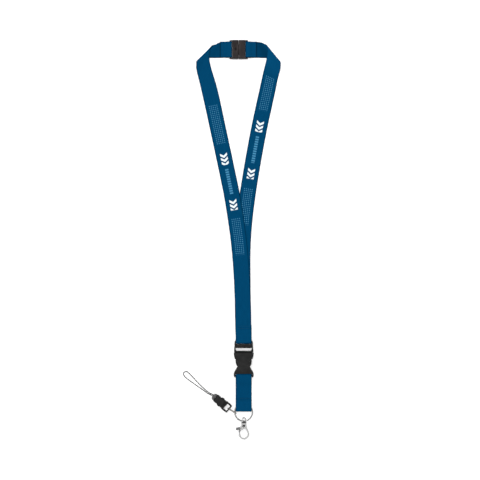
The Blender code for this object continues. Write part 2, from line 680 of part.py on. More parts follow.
MINI_Z0, MINI_Z1 = MINI_Z - MINI_T / 2, MINI_Z + MINI_T / 2
MINI_BASE = 6.6              # from the end bar to the male part's shoulder
MINI_MOUTH = 8.6             # mouth of the female part
MINI_END = 22.2              # where the cord cap starts
CAP_END = 25.9


def make_mini(plastic, cap_plastic, metal):
    bm = bmesh.new()
    half = [(4.9, -0.9), (5.6, 0.2), (5.9, MINI_BASE), (5.9, MINI_MOUTH - GAP)]
    prism(bm, mirrored(half), MINI_Z0 + 0.5, MINI_Z1 - 0.5)
    male = placed("mini_male", bm, plastic, (0, 0, MINI_Z))
    window = bmesh.new()
    prism(window, rounded(-4.0, 4.0, -3.0, 5.6, 0.8, 2), -2, 9)
    modifier_cut(male, placed("mini_window", window, None))
    bar = bmesh.new()
    cylinder(bar, (-4.4, 0, MINI_Z), (4.4, 0, MINI_Z), 0.9, 16)
    modifier_cut(male, placed("mini_bar", bar, None), "UNION")
    guide = bmesh.new()
    box(guide, -1.0, 1.0, MINI_MOUTH - 1.0, 17.0, MINI_Z - 0.9, MINI_Z + 0.9)
    for side in (-1, 1):
        box(guide, *sorted((side * 2.6, side * 3.9)), MINI_MOUTH - 1.0, 9.2, MINI_Z - 0.9, MINI_Z + 0.9)
    modifier_cut(male, placed("mini_guide", guide, None), "UNION")
    bevel(male, 0.25, 1)

    for name, side in (("mini_arm_left", -1), ("mini_arm_right", 1)):
        outline = [(2.65, 9.5), (3.85, 9.5), (3.9, 10.8), (4.1, 11.2), (5.2, 11.25), (6.0, 12.0),
                   (6.1, 13.4), (5.6, 15.2), (4.6, 16.6), (3.6, 16.8), (2.8, 15.8), (2.7, 12.0)]
        arm = bmesh.new()
        prism(arm, [(side * x, y) for x, y in outline], MINI_Z - 1.2, MINI_Z + 1.2)
        piece = placed(name, arm, plastic, (side * 3.25, 9.4, MINI_Z))
        bevel(piece, 0.2, 1)

    half = [(5.0, MINI_MOUTH), (5.4, MINI_MOUTH + 0.5), (5.4, 10.2), (5.2, 10.8), (4.0, 13.0),
            (4.0, 15.2), (4.6, 17.0), (5.0, 18.4), (5.0, 20.6), (4.6, MINI_END)]
    shell = bmesh.new()
    prism(shell, mirrored(half), MINI_Z0, MINI_Z1)
    female = placed("mini_female", shell, plastic, (0, MINI_MOUTH, MINI_Z))
    for index, (wide, low, high) in enumerate(((4.4, MINI_MOUTH - 1, 11.6), (7.0, 10.7, 17.2))):
        pocket = bmesh.new()
        box(pocket, -wide, wide, low, high, MINI_Z - 1.5, MINI_Z + 1.5)
        modifier_cut(female, placed(f"mini_pocket_{index}", pocket, None))
    bevel(female, 0.3, 1, 50)

    half = [(4.3, MINI_END + GAP), (4.1, 24.0), (3.1, CAP_END)]
    bm = bmesh.new()
    prism(bm, mirrored(half), MINI_Z0 + 0.4, MINI_Z1 - 0.4)
    cap = placed("cord_cap", bm, cap_plastic, (0, MINI_END, MINI_Z))
    bore = bmesh.new()
    prism(bore, rounded(-1.75, 1.75, 23.0, 27.0, 0.2, 1), MINI_Z - 1.0, MINI_Z + 1.0)
    modifier_cut(cap, placed("cap_bore", bore, None))
    bevel(cap, 0.25, 1, 50)
    ferrule = bmesh.new()
    prism(ferrule, rounded(-1.4, 1.4, 23.3, 24.1, 0.3, 2), MINI_Z - 0.7, MINI_Z + 0.7)
    placed("cord_ferrule", ferrule, metal, (0, 23.5, MINI_Z))

    link = bmesh.new()
    sweep(link, oval_loop(*LINK_SIZE, LINK_WIRE), LINK_WIRE, 8, closed=True)
    ahead, height = LINK_CENTRE
    place = (Matrix.Translation((MINI_BAR[0], MINI_BAR[1], height))
             @ Matrix.Rotation(LINK_HEADING, 4, "Z") @ Matrix.Translation((ahead, 0, 0))
             @ Matrix.Rotation(LINK_TILT, 4, "X"))
    bmesh.ops.transform(link, matrix=place, verts=link.verts)
    finish_mesh("link_ring", link, metal, (MINI_BAR[0], MINI_BAR[1], MINI_Z))


def cord_route():
    """The phone loop, out of one side of the cap and back into the other."""
    frame = mini_frame()
    out = [frame @ Vector((CORD_APART, y, MINI_Z)) for y in (24.5, 26.5)]
    back = [frame @ Vector((-CORD_APART, y, MINI_Z)) for y in (26.5, 24.5)]
    low = CORD_R
    free = [(-38.0, -191.6, 1.5), (-42.5, -187.9, 0.9), (-47.4, -183.4, low), (-52.2, -178.4, low),
            (-57.2, -173.0, low), (-61.2, -168.8, low), (-64.0, -166.3, low), (-67.0, -165.9, low),
            (-69.2, -168.2, low), (-68.2, -171.2, low), (-64.8, -174.6, low), (-60.2, -178.0, low),
            (-54.6, -182.0, low), (-49.0, -185.9, low), (-43.6, -189.6, 0.9), (-38.8, -192.9, 1.5)]
    return [tuple(p) for p in out] + free + [tuple(p) for p in back]


def make_cord(mat):
    route = [Vector((p.x, p.y, max(p.z, CORD_R))) for p in smooth_route(cord_route(), 3)]
    curve = bpy.data.curves.new("phone_cord", "CURVE")
    curve.dimensions = "3D"
    curve.bevel_depth = CORD_R * MM
    curve.bevel_resolution = 2
    curve.use_fill_caps = True
    spline = curve.splines.new("POLY")
    spline.points.add(len(route) - 1)
    for point, place in zip(spline.points, route):
        point.co = (*(place * MM), 1.0)
    curve.materials.append(mat)
    obj = bpy.data.objects.new("phone_cord", curve)
    bpy.context.scene.collection.objects.link(obj)


def build():
    clear_scene()
    fabric = material("ribbon_teal", (0.0, 0.075, 0.17), 0.75)
    plastic = material("buckle_black", (0.03, 0.03, 0.03), 0.4)
    clasp = material("clasp_black", (0.045, 0.038, 0.038), 0.45)
    cap = material("cap_grey", (0.12, 0.12, 0.12), 0.5)
    cord = material("cord_grey", (0.06, 0.06, 0.06), 0.8)
    metal = material("bright_metal", (0.62, 0.62, 0.62), 0.25, 1.0)
    make_straps(fabric)
    clasp_half("breakaway_socket", -1, clasp)
    clasp_half("breakaway_plug", 1, clasp)
    make_male(plastic)
    make_arm("buckle_arm_left", -1, plastic)
    make_arm("buckle_arm_right", 1, plastic)
    make_female(plastic)
    make_drop_strap(fabric)
    make_split_ring(metal)
    make_swivel_eye(metal)
    make_hook(metal)
    make_gate(metal)
    make_mini(plastic, cap, metal)
    make_cord(cord)


build()
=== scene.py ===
"""Looks of the neck lanyard: woven ribbons, stitching, moulded buckles, plated metal and a twisted cord.

Lengths are in millimetres unless a comment says otherwise, and MM turns them into metres.
+Y runs towards the neck, +Z up from the table at Z = 0, and +X to the right of the flat lanyard.
"""

import json
import math

import bmesh
import bpy
from mathutils import Matrix, Vector
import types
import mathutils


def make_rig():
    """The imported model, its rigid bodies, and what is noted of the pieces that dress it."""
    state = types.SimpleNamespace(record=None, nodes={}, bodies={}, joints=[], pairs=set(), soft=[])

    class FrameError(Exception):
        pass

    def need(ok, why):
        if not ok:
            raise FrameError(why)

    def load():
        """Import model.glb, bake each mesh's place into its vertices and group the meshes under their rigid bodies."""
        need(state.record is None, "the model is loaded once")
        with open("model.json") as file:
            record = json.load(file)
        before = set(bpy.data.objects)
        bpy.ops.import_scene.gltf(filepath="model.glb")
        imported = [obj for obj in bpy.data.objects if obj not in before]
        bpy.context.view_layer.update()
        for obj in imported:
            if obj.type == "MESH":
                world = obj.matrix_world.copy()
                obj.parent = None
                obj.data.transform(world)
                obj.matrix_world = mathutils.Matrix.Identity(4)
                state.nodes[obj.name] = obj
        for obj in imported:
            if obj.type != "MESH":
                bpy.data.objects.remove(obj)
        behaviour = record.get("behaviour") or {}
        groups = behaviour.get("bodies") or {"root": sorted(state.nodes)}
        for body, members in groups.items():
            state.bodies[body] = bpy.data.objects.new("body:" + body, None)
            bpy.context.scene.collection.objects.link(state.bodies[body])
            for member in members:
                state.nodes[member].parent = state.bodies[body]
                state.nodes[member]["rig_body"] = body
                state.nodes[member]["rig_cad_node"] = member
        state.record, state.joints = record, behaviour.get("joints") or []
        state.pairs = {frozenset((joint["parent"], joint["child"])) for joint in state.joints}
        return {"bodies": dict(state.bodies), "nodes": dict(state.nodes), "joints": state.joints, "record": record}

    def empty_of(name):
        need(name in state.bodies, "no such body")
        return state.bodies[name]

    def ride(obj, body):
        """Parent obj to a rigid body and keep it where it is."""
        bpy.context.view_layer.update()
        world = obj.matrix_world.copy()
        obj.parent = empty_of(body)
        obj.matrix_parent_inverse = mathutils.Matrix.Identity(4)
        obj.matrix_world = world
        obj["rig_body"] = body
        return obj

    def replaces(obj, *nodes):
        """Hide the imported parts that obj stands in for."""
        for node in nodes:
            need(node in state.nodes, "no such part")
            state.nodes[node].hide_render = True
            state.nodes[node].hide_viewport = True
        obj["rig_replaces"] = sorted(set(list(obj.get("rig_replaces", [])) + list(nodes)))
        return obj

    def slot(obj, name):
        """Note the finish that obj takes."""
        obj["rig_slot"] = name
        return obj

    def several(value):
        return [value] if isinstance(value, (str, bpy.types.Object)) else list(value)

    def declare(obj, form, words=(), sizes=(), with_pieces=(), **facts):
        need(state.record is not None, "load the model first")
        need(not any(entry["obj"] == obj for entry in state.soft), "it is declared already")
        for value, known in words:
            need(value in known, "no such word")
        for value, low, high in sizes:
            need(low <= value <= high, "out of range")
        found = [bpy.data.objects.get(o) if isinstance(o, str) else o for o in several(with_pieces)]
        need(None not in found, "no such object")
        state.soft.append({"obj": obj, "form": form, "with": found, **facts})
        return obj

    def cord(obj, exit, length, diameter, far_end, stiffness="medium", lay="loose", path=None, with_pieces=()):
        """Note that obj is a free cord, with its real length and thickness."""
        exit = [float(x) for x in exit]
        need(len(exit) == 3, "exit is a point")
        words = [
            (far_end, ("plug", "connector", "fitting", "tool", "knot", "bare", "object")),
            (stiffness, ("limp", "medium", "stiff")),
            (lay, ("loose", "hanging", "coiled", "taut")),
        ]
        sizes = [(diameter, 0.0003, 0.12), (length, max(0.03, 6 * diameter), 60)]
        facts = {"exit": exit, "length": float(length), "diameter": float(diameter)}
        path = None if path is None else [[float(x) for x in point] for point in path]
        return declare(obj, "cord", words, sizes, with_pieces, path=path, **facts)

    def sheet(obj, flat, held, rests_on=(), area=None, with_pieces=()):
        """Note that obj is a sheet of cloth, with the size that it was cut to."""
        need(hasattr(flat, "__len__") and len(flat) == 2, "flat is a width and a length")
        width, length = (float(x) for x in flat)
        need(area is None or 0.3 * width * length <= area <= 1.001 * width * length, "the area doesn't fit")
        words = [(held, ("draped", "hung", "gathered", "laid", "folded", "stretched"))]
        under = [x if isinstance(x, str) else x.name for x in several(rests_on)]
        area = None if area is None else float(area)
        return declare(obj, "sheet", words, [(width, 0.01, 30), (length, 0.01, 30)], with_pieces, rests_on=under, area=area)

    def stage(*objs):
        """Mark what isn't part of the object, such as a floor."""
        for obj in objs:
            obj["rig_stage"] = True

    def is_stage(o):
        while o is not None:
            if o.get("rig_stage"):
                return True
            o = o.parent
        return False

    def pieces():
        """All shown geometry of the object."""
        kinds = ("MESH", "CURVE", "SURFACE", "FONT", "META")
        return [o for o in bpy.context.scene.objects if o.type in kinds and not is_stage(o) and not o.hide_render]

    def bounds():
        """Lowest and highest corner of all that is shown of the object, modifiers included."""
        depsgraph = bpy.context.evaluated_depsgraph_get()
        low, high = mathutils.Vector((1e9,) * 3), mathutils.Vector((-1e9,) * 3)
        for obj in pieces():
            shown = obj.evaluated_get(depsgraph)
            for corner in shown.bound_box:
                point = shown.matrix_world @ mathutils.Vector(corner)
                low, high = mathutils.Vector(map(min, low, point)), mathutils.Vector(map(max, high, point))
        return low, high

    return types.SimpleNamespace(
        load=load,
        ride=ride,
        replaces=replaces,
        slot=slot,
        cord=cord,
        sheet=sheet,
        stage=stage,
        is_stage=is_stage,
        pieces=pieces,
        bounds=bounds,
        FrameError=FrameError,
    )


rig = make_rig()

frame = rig.load()
cad_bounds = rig.bounds()

MM = 0.001
GAP = 0.3

# ribbon, as in the CAD model
RIBBON_T = 1.0
HALF = 10.0
Z1, Z2, Z3 = 0.5, 1.8, 3.1        # mid heights of the three ribbon layers
ROW_SPACING = 1.3                 # length of ribbon between two rows of vertices

# breakaway clasp
NECK_Y = 238.6
CLASP_X = 0.3
CLASP_H = 23.4
CLASP_T = 5.1
CLASP_BLOCK = 7.6
CLASP_SLOT = 1.9
CLASP_BAR = 1.8
CLASP_LIP = 0.45
STRAND_Y = 203.0                  # where the strands leave the turned over corners

# main buckle
DROP_X = 6.5
MALE_TOP_Y = -126.4
BAR_Y = -128.5
BAR_R = 1.1
BAR_Z = RIBBON_T + GAP + BAR_R
BASE_Y = -139.8
COLLAR_Y = -141.5
WINDOW_TOP_Y = -149.6
WINDOW_END_Y = -159.6
FEMALE_END_Y = -173.0
FEMALE_BAR_Y = -170.7
BUCKLE_T = 8.0
ARM_ROOT_Y = -142.6
SEAM_Y = -110.0
GRIP_TOP_Y, FOOT_EDGE_Y = -131.05, -168.15

# ring, strap end and hook
RING_Y = -216.6
RING_R = 11.1
RING_WIRE = 0.75
RING_Z = 2.9
POUCH_Y = -216.0
STITCH_Y = -201.2
HOOK_X = 6.8
HOOK_Z = 3.1
HOOK_T = 3.2
EYE_TURN = math.radians(48)
PIVOT = (HOOK_X - 3.9, -236.6)
STEM_TOP_Y = -228.8
BEND_Y, BEND_R = -243.9, 6.6      # the hook's round bend

# small buckle, drawn in its own axes: x across, y from its end bar to its cap
MINI_BAR = (-12.0, -212.4)
MINI_DIR = Vector((-0.765, 0.644, 0.0)).normalized()
MINI_Z = 2.75
MINI_T = 5.2
MINI_Z0, MINI_Z1 = MINI_Z - MINI_T / 2, MINI_Z + MINI_T / 2
MINI_BASE = 6.6
MINI_MOUTH = 8.6
MINI_END = 22.2
CAP_END = 25.9
LINK_SIZE = (13.3, 6.05)
LINK_WIRE = 0.4
LINK_HEADING = math.radians(328.3)
LINK_TILT = math.radians(72.9)
LINK_CENTRE = (4.6, 2.94)
CORD_R = 0.55


# ---------------------------------------------------------------- stage and camera

VIEW_CENTRE = (1.95, -0.5)
VIEW_SPAN = 603.4                 # width of table that the square picture shows
LENS, SENSOR = 100.0, 36.0
HORIZON, ZENITH = 0.42, 0.62      # brightness of the surround
OVERHEAD = 2.5                    # overhead sun, in W/m2


def make_camera():
    data = bpy.data.cameras.new("view")
    data.lens = LENS
    data.sensor_width = SENSOR
    data.clip_end = 20.0
    camera = bpy.data.objects.new("view", data)
    height = VIEW_SPAN * LENS / SENSOR
    camera.location = Vector((*VIEW_CENTRE, height)) * MM
    bpy.context.scene.collection.objects.link(camera)
    bpy.context.scene.camera = camera


def area_light(name, place, aim, size, power):
    data = bpy.data.lights.new(name, "AREA")
    data.energy = power
    data.shape = "DISK"
    data.size = size
    light = bpy.data.objects.new(name, data)
    light.location = place
    light.rotation_euler = (Vector(aim) - Vector(place)).to_track_quat("-Z", "Y").to_euler()
    bpy.context.scene.collection.objects.link(light)


def make_world():
    """Pale studio surround, brighter overhead than at the horizon."""
    world = bpy.data.worlds.new("studio")
    world.use_nodes = True
    tree = world.node_tree
    direction = tree.nodes.new("ShaderNodeTexCoord")
    split = tree.nodes.new("ShaderNodeSeparateXYZ")
    tree.links.new(direction.outputs["Generated"], split.inputs[0])
    grade = tree.nodes.new("ShaderNodeMapRange")
    tree.links.new(split.outputs["Z"], grade.inputs["Value"])
    for key, number in (("From Min", 0.0), ("From Max", 0.8), ("To Min", HORIZON), ("To Max", ZENITH)):
        grade.inputs[key].default_value = number
    backdrop = tree.nodes["Background"]
    backdrop.inputs["Color"].default_value = (1.0, 1.0, 1.0, 1.0)
    tree.links.new(grade.outputs[0], backdrop.inputs["Strength"])
    bpy.context.scene.world = world
    bpy.context.scene.view_settings.view_transform = "Standard"


def make_stage():
    make_world()
    sun = bpy.data.lights.new("overhead", "SUN")
    sun.energy = OVERHEAD
    sun.angle = math.radians(9)
    lamp = bpy.data.objects.new("overhead", sun)
    lamp.rotation_euler = (math.radians(-5), math.radians(-3), 0)
    lamp.visible_glossy = False
    bpy.context.scene.collection.objects.link(lamp)
    area_light("key", (-0.45, 0.85, 1.5), (0, -0.05, 0), 0.5, 9.0)
    bm = bmesh.new()
    bmesh.ops.create_grid(bm, x_segments=8, y_segments=8, size=2.5)
    bmesh.ops.translate(bm, verts=bm.verts, vec=(0, 0, -0.0003))
    mesh = bpy.data.meshes.new("floor")
    bm.to_mesh(mesh)
    bm.free()
    floor = bpy.data.objects.new("floor", mesh)
    bpy.context.scene.collection.objects.link(floor)
    paper = Shading("paper", (0.80, 0.80, 0.80), 0.9, specular=0.0)
    mesh.materials.append(paper.material)
    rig.stage(floor)


# ---------------------------------------------------------------- materials

class Shading:
    """One Principled material, with short calls that build its node tree."""

    def __init__(self, name, colour, roughness, metallic=0.0, specular=0.5):
        self.material = bpy.data.materials.new(name)
        self.material.use_nodes = True
        self.tree = self.material.node_tree
        self.shader = self.tree.nodes["Principled BSDF"]
        self.shader.inputs["Base Color"].default_value = (*colour, 1.0)
        self.shader.inputs["Roughness"].default_value = roughness
        self.shader.inputs["Metallic"].default_value = metallic
        self.shader.inputs["Specular IOR Level"].default_value = specular

    def put(self, value, socket):
        if isinstance(value, bpy.types.NodeSocket):
            self.tree.links.new(value, socket)
        else:
            socket.default_value = value

    def calc(self, operation, *values):
        node = self.tree.nodes.new("ShaderNodeMath")
        node.operation = operation
        for value, socket in zip(values, node.inputs):
            self.put(value, socket)
        return node.outputs[0]

    def strip(self):
        """Millimetres across and along a ribbon. Its underside is UNDERSIDE further across."""
        node = self.tree.nodes.new("ShaderNodeUVMap")
        node.uv_map = "strip"
        split = self.tree.nodes.new("ShaderNodeSeparateXYZ")
        self.tree.links.new(node.outputs[0], split.inputs[0])
        return split.outputs[0], split.outputs[1]

    def place(self):
        return self.tree.nodes.new("ShaderNodeTexCoord").outputs["Object"]

    def sideways(self):
        """0 where a surface faces up or down at rest, 1 where it faces sideways."""
        # mask for the painted shade on the flanks of plated metal
        split = self.tree.nodes.new("ShaderNodeSeparateXYZ")
        self.tree.links.new(self.tree.nodes.new("ShaderNodeTexCoord").outputs["Normal"], split.inputs[0])
        return self.spread(self.calc("ABSOLUTE", split.outputs[2]), 0.25, 0.85, 1.0, 0.0)

    def join(self, x, y, z=0.0):
        node = self.tree.nodes.new("ShaderNodeCombineXYZ")
        for value, socket in zip((x, y, z), node.inputs):
            self.put(value, socket)
        return node.outputs[0]

    def noise(self, where, scale, detail=3.0, rough=0.55):
        node = self.tree.nodes.new("ShaderNodeTexNoise")
        self.put(where, node.inputs["Vector"])
        node.inputs["Scale"].default_value = scale
        node.inputs["Detail"].default_value = detail
        node.inputs["Roughness"].default_value = rough
        return node.outputs[0]

    def spread(self, value, low, high, to_low=0.0, to_high=1.0):
        node = self.tree.nodes.new("ShaderNodeMapRange")
        self.put(value, node.inputs["Value"])
        for key, number in (("From Min", low), ("From Max", high), ("To Min", to_low), ("To Max", to_high)):
            node.inputs[key].default_value = number
        return node.outputs[0]

    def mix(self, share, first, second):
        node = self.tree.nodes.new("ShaderNodeMix")
        node.data_type = "RGBA"
        self.put(share, node.inputs["Factor"])
        for value, socket in ((first, node.inputs["A"]), (second, node.inputs["B"])):
            sockets = [s for s in node.inputs if s.name == socket.name and s.type == "RGBA"]
            self.put(value if isinstance(value, bpy.types.NodeSocket) else (*value, 1.0), sockets[0])
        return next(s for s in node.outputs if s.type == "RGBA")

    def colour(self, value):
        self.put(value, self.shader.inputs["Base Color"])

    def roughness(self, value):
        self.put(value, self.shader.inputs["Roughness"])

    def bump(self, height, distance, strength=1.0):
        """distance is in metres: how high the pattern's 1 stands above its 0."""
        node = self.tree.nodes.new("ShaderNodeBump")
        node.inputs["Strength"].default_value = strength
        node.inputs["Distance"].default_value = distance
        self.put(height, node.inputs["Height"])
        self.tree.links.new(node.outputs[0], self.shader.inputs["Normal"])


UNDERSIDE = 100.0
DOT_PITCH = 2.4
CHEVRON_PITCH = 5.2
TEAL = (0.0006, 0.0345, 0.0860)
TEAL_LIGHT = (0.0010, 0.0490, 0.1240)
TEAL_DARK = (0.0004, 0.0160, 0.0400)
# heat-sealed cut end, darkened as painted shade of the step at the ribbon's end
SEALED_AND_SHADED = (0.0005, 0.0090, 0.0220)
PRINT_BLUE = (0.075, 0.290, 0.480)
PRINT_WHITE = (0.66, 0.72, 0.74)


def inside(shade, value, low, high, soft=0.25):
    """1 between low and high, fading over soft at both ends."""
    rise = shade.spread(value, low - soft, low + soft)
    fall = shade.spread(value, high - soft, high + soft, 1.0, 0.0)
    return shade.calc("MULTIPLY", rise, fall)


def dot_print(shade, u, s):
    """A plain field of small round dots, evenly spaced."""
    across = shade.calc("PINGPONG", u, DOT_PITCH / 2)
    along = shade.calc("PINGPONG", shade.calc("ADD", s, DOT_PITCH / 2), DOT_PITCH / 2)
    squares = shade.calc("MULTIPLY_ADD", across, across, shade.calc("MULTIPLY", along, along))
    dots = shade.spread(shade.calc("SQRT", squares), 0.45, 0.7, 0.6, 0.0)
    return shade.calc("MULTIPLY", dots, shade.spread(shade.calc("ABSOLUTE", u), 5.5, 5.7, 1.0, 0.0))


def chevron_print(shade, u, s):
    """Three chevrons that point along the ribbon."""
    side = shade.calc("ABSOLUTE", u)
    lean = shade.calc("MULTIPLY_ADD", side, 0.7, s)
    rise = shade.calc("PINGPONG", lean, CHEVRON_PITCH / 2)
    bars = shade.spread(rise, CHEVRON_PITCH * 0.17, CHEVRON_PITCH * 0.25)
    width = shade.spread(side, 4.2, 4.6, 1.0, 0.0)
    field = shade.calc("MULTIPLY", width, inside(shade, lean, CHEVRON_PITCH, CHEVRON_PITCH * 4, 0.1))
    return shade.calc("MULTIPLY", bars, field)


def dash_print(shade, u, s):
    """An even row of short cross ticks."""
    width = shade.spread(shade.calc("ABSOLUTE", u), 1.9, 2.3, 0.62, 0.0)
    ticks = shade.spread(shade.calc("PINGPONG", s, 1.5), 0.45, 0.8, 0.1, 1.0)
    return shade.calc("MULTIPLY", width, ticks)


PRINTS = {"dots": (dot_print, PRINT_BLUE), "chevron": (chevron_print, PRINT_WHITE),
          "dash": (dash_print, PRINT_BLUE)}


def woven_ribbon(name, motifs=(), painted_shading=(), shaded_sealed_end=True):
    """Fine ribbed polyester, with motifs (print, start, end) and bands of painted shade and painted light (colour,
    share, start, end).
    """
    shade = Shading(name, TEAL, 0.72, specular=0.0)
    across, along = shade.strip()
    side = shade.calc("ABSOLUTE", shade.calc("PINGPONG", across, UNDERSIDE / 2))
    edge = shade.spread(side, 8.9, 9.3)
    stretched = shade.join(shade.calc("MULTIPLY", across, 1.6), shade.calc("MULTIPLY", along, 0.10))
    streak = shade.noise(stretched, 1.0)
    fleck = shade.noise(shade.join(across, along), 0.9, 5.0, 0.7)
    tone = shade.calc("ADD", shade.calc("MULTIPLY", streak, 0.5), shade.calc("MULTIPLY", fleck, 0.5))
    base = shade.mix(shade.spread(tone, 0.36, 0.66), TEAL, TEAL_LIGHT)
    base = shade.mix(shade.calc("MULTIPLY", edge, 0.7), base, TEAL_DARK)
    # darker heat-sealed cut end, with painted shade of the step where the ribbon's end lies on the layer below
    if shaded_sealed_end:
        base = shade.mix(shade.spread(along, 0.8, 1.6, 0.85, 0.0), base, SEALED_AND_SHADED)
    # bands of painted shade and painted light on the ribbon beside the clasp
    for shift, share, start, end in painted_shading:
        base = shade.mix(shade.calc("MULTIPLY", inside(shade, along, start, end, 5.0), share), base, shift)
    for kind, start, end in motifs:
        paint, ink = PRINTS[kind]
        s = shade.calc("SUBTRACT", along, start)
        amount = paint(shade, across, s)
        amount = shade.calc("MULTIPLY", amount, inside(shade, along, start, end))
        base = shade.mix(amount, base, ink)
    # painted shade in the hollows of the weave, between the crossing threads
    rib = shade.calc("SINE", shade.calc("MULTIPLY", across, 2 * math.pi / 0.62))
    weft = shade.calc("SINE", shade.calc("MULTIPLY", along, 2 * math.pi / 0.86))
    weave = shade.calc("MULTIPLY_ADD", shade.calc("MULTIPLY", rib, weft), 0.5, 0.5)
    weave_hollow_shade = shade.spread(weave, 0.0, 1.0, 0.16, 0.0)
    shade.colour(shade.mix(weave_hollow_shade, base, TEAL_DARK))
    shade.bump(weave, 0.00012, 0.8)
    shade.roughness(shade.spread(fleck, 0.3, 0.7, 0.64, 0.82))
    return shade.material


def sewing_thread(name, colour):
    shade = Shading(name, colour, 0.6, specular=0.2)
    grain = shade.noise(shade.place(), 2600.0)
    shade.colour(shade.mix(shade.spread(grain, 0.3, 0.7), colour, tuple(c * 1.8 for c in colour)))
    shade.bump(grain, 0.00004)
    return shade.material


def moulded(name, colour, worn, roughness, specular=0.35):
    """Injection moulded plastic: a fine spark eroded grain with faint rubbed patches."""
    shade = Shading(name, colour, roughness, specular=specular)
    where = shade.place()
    patch = shade.noise(where, 160.0, 4.0)
    grain = shade.noise(where, 2400.0, 2.0)
    shade.colour(shade.mix(shade.spread(patch, 0.42, 0.72), colour, worn))
    shade.roughness(shade.spread(patch, 0.3, 0.7, roughness + 0.08, roughness - 0.06))
    shade.bump(grain, 0.00003, 0.7)
    return shade.material


def plated(name, colour, dull, roughness, flank_shade=0.55):
    """Nickel plate: cloudy, with hairline scratches, and painted shade that greys its flanks so that its top reads
    brighter.
    """
    shade = Shading(name, colour, roughness, 1.0)
    where = shade.place()
    cloud = shade.noise(where, 240.0, 4.0)
    hairs = shade.join(shade.calc("MULTIPLY", cloud, 3.0), shade.calc("MULTIPLY", cloud, 40.0))
    scratch = shade.noise(hairs, 6.0)
    face = shade.mix(shade.spread(cloud, 0.35, 0.7), colour, dull)
    # painted shade: faces that turn sideways are darkened towards near black
    shade.colour(shade.mix(shade.calc("MULTIPLY", shade.sideways(), flank_shade), face, (0.05, 0.05, 0.052)))
    shade.roughness(shade.spread(cloud, 0.3, 0.75, roughness - 0.05, roughness + 0.14))
    shade.bump(scratch, 0.00001, 0.4)
    return shade.material


def twisted_yarn(name, colour, light):
    shade = Shading(name, colour, 0.8, specular=0.15)
    across, along = shade.strip()
    fibre = shade.calc("MULTIPLY_ADD", along, 1.3, shade.calc("MULTIPLY", across, 6.0))
    lines = shade.calc("MULTIPLY_ADD", shade.calc("SINE", shade.calc("MULTIPLY", fibre, 9.0)), 0.5, 0.5)
    fuzz = shade.noise(shade.place(), 1800.0)
    shade.colour(shade.mix(shade.calc("MULTIPLY", lines, fuzz), colour, light))
    shade.bump(lines, 0.00005)
    return shade.material


# ---------------------------------------------------------------- mesh helpers

def object_from(name, bm, mat, angle=35):
    """Turn a bmesh in millimetres into a shown object in the row frame."""
    bmesh.ops.recalc_face_normals(bm, faces=bm.faces)
    bmesh.ops.scale(bm, vec=(MM, MM, MM), verts=bm.verts)
    mesh = bpy.data.meshes.new(name)
    bm.to_mesh(mesh)
    bm.free()
    mesh.shade_smooth()
    mesh.set_sharp_from_angle(angle=math.radians(angle))
    mesh.materials.append(mat)
    obj = bpy.data.objects.new(name, mesh)
    bpy.context.scene.collection.objects.link(obj)
    return obj


def settle(obj, body, slot, *nodes):
    """Ride on a body, take a slot and stand for CAD nodes."""
    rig.ride(obj, body)
    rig.slot(obj, slot)
    if nodes:
        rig.replaces(obj, *nodes)
    return obj


def body_of(node):
    return frame["nodes"][node]["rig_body"]


def prism(bm, outline, z0, z1):
    """Extrude an outline of (x, y) points from z0 to z1."""
    low, high = ([bm.verts.new((x, y, z)) for x, y in outline] for z in (z0, z1))
    bm.faces.new(low)
    bm.faces.new(high)
    for k in range(len(low)):
        m = (k + 1) % len(low)
        bm.faces.new((low[k], low[m], high[m], high[k]))


def block(bm, x0, x1, y0, y1, z0, z1):
    prism(bm, [(x0, y0), (x1, y0), (x1, y1), (x0, y1)], z0, z1)


def rounded(x0, x1, y0, y1, radius, steps=6):
    points = []
    corners = ((x1, y1, 0), (x0, y1, 90), (x0, y0, 180), (x1, y0, 270))
    for cx, cy, start in corners:
        sx = -radius if cx == x1 else radius
        sy = -radius if cy == y1 else radius
        for i in range(steps + 1):
            a = math.radians(start + 90 * i / steps)
            points.append((cx + sx + radius * math.cos(a), cy + sy + radius * math.sin(a)))
    return points


def moved(outline, dx, dy=0.0):
    return [(x + dx, y + dy) for x, y in outline]


def mirrored(half, dx=0.0):
    return [(dx + x, y) for x, y in half] + [(dx - x, y) for x, y in reversed(half)]


def cylinder(bm, start, end, radius, sides=32, far_radius=None):
    start, end = Vector(start), Vector(end)
    axis = end - start
    turn = Vector((0, 0, 1)).rotation_difference(axis.normalized()).to_matrix().to_4x4()
    place = Matrix.Translation((start + end) / 2) @ turn
    bmesh.ops.create_cone(bm, cap_ends=True, segments=sides, radius1=radius,
                          radius2=radius if far_radius is None else far_radius,
                          depth=axis.length, matrix=place)


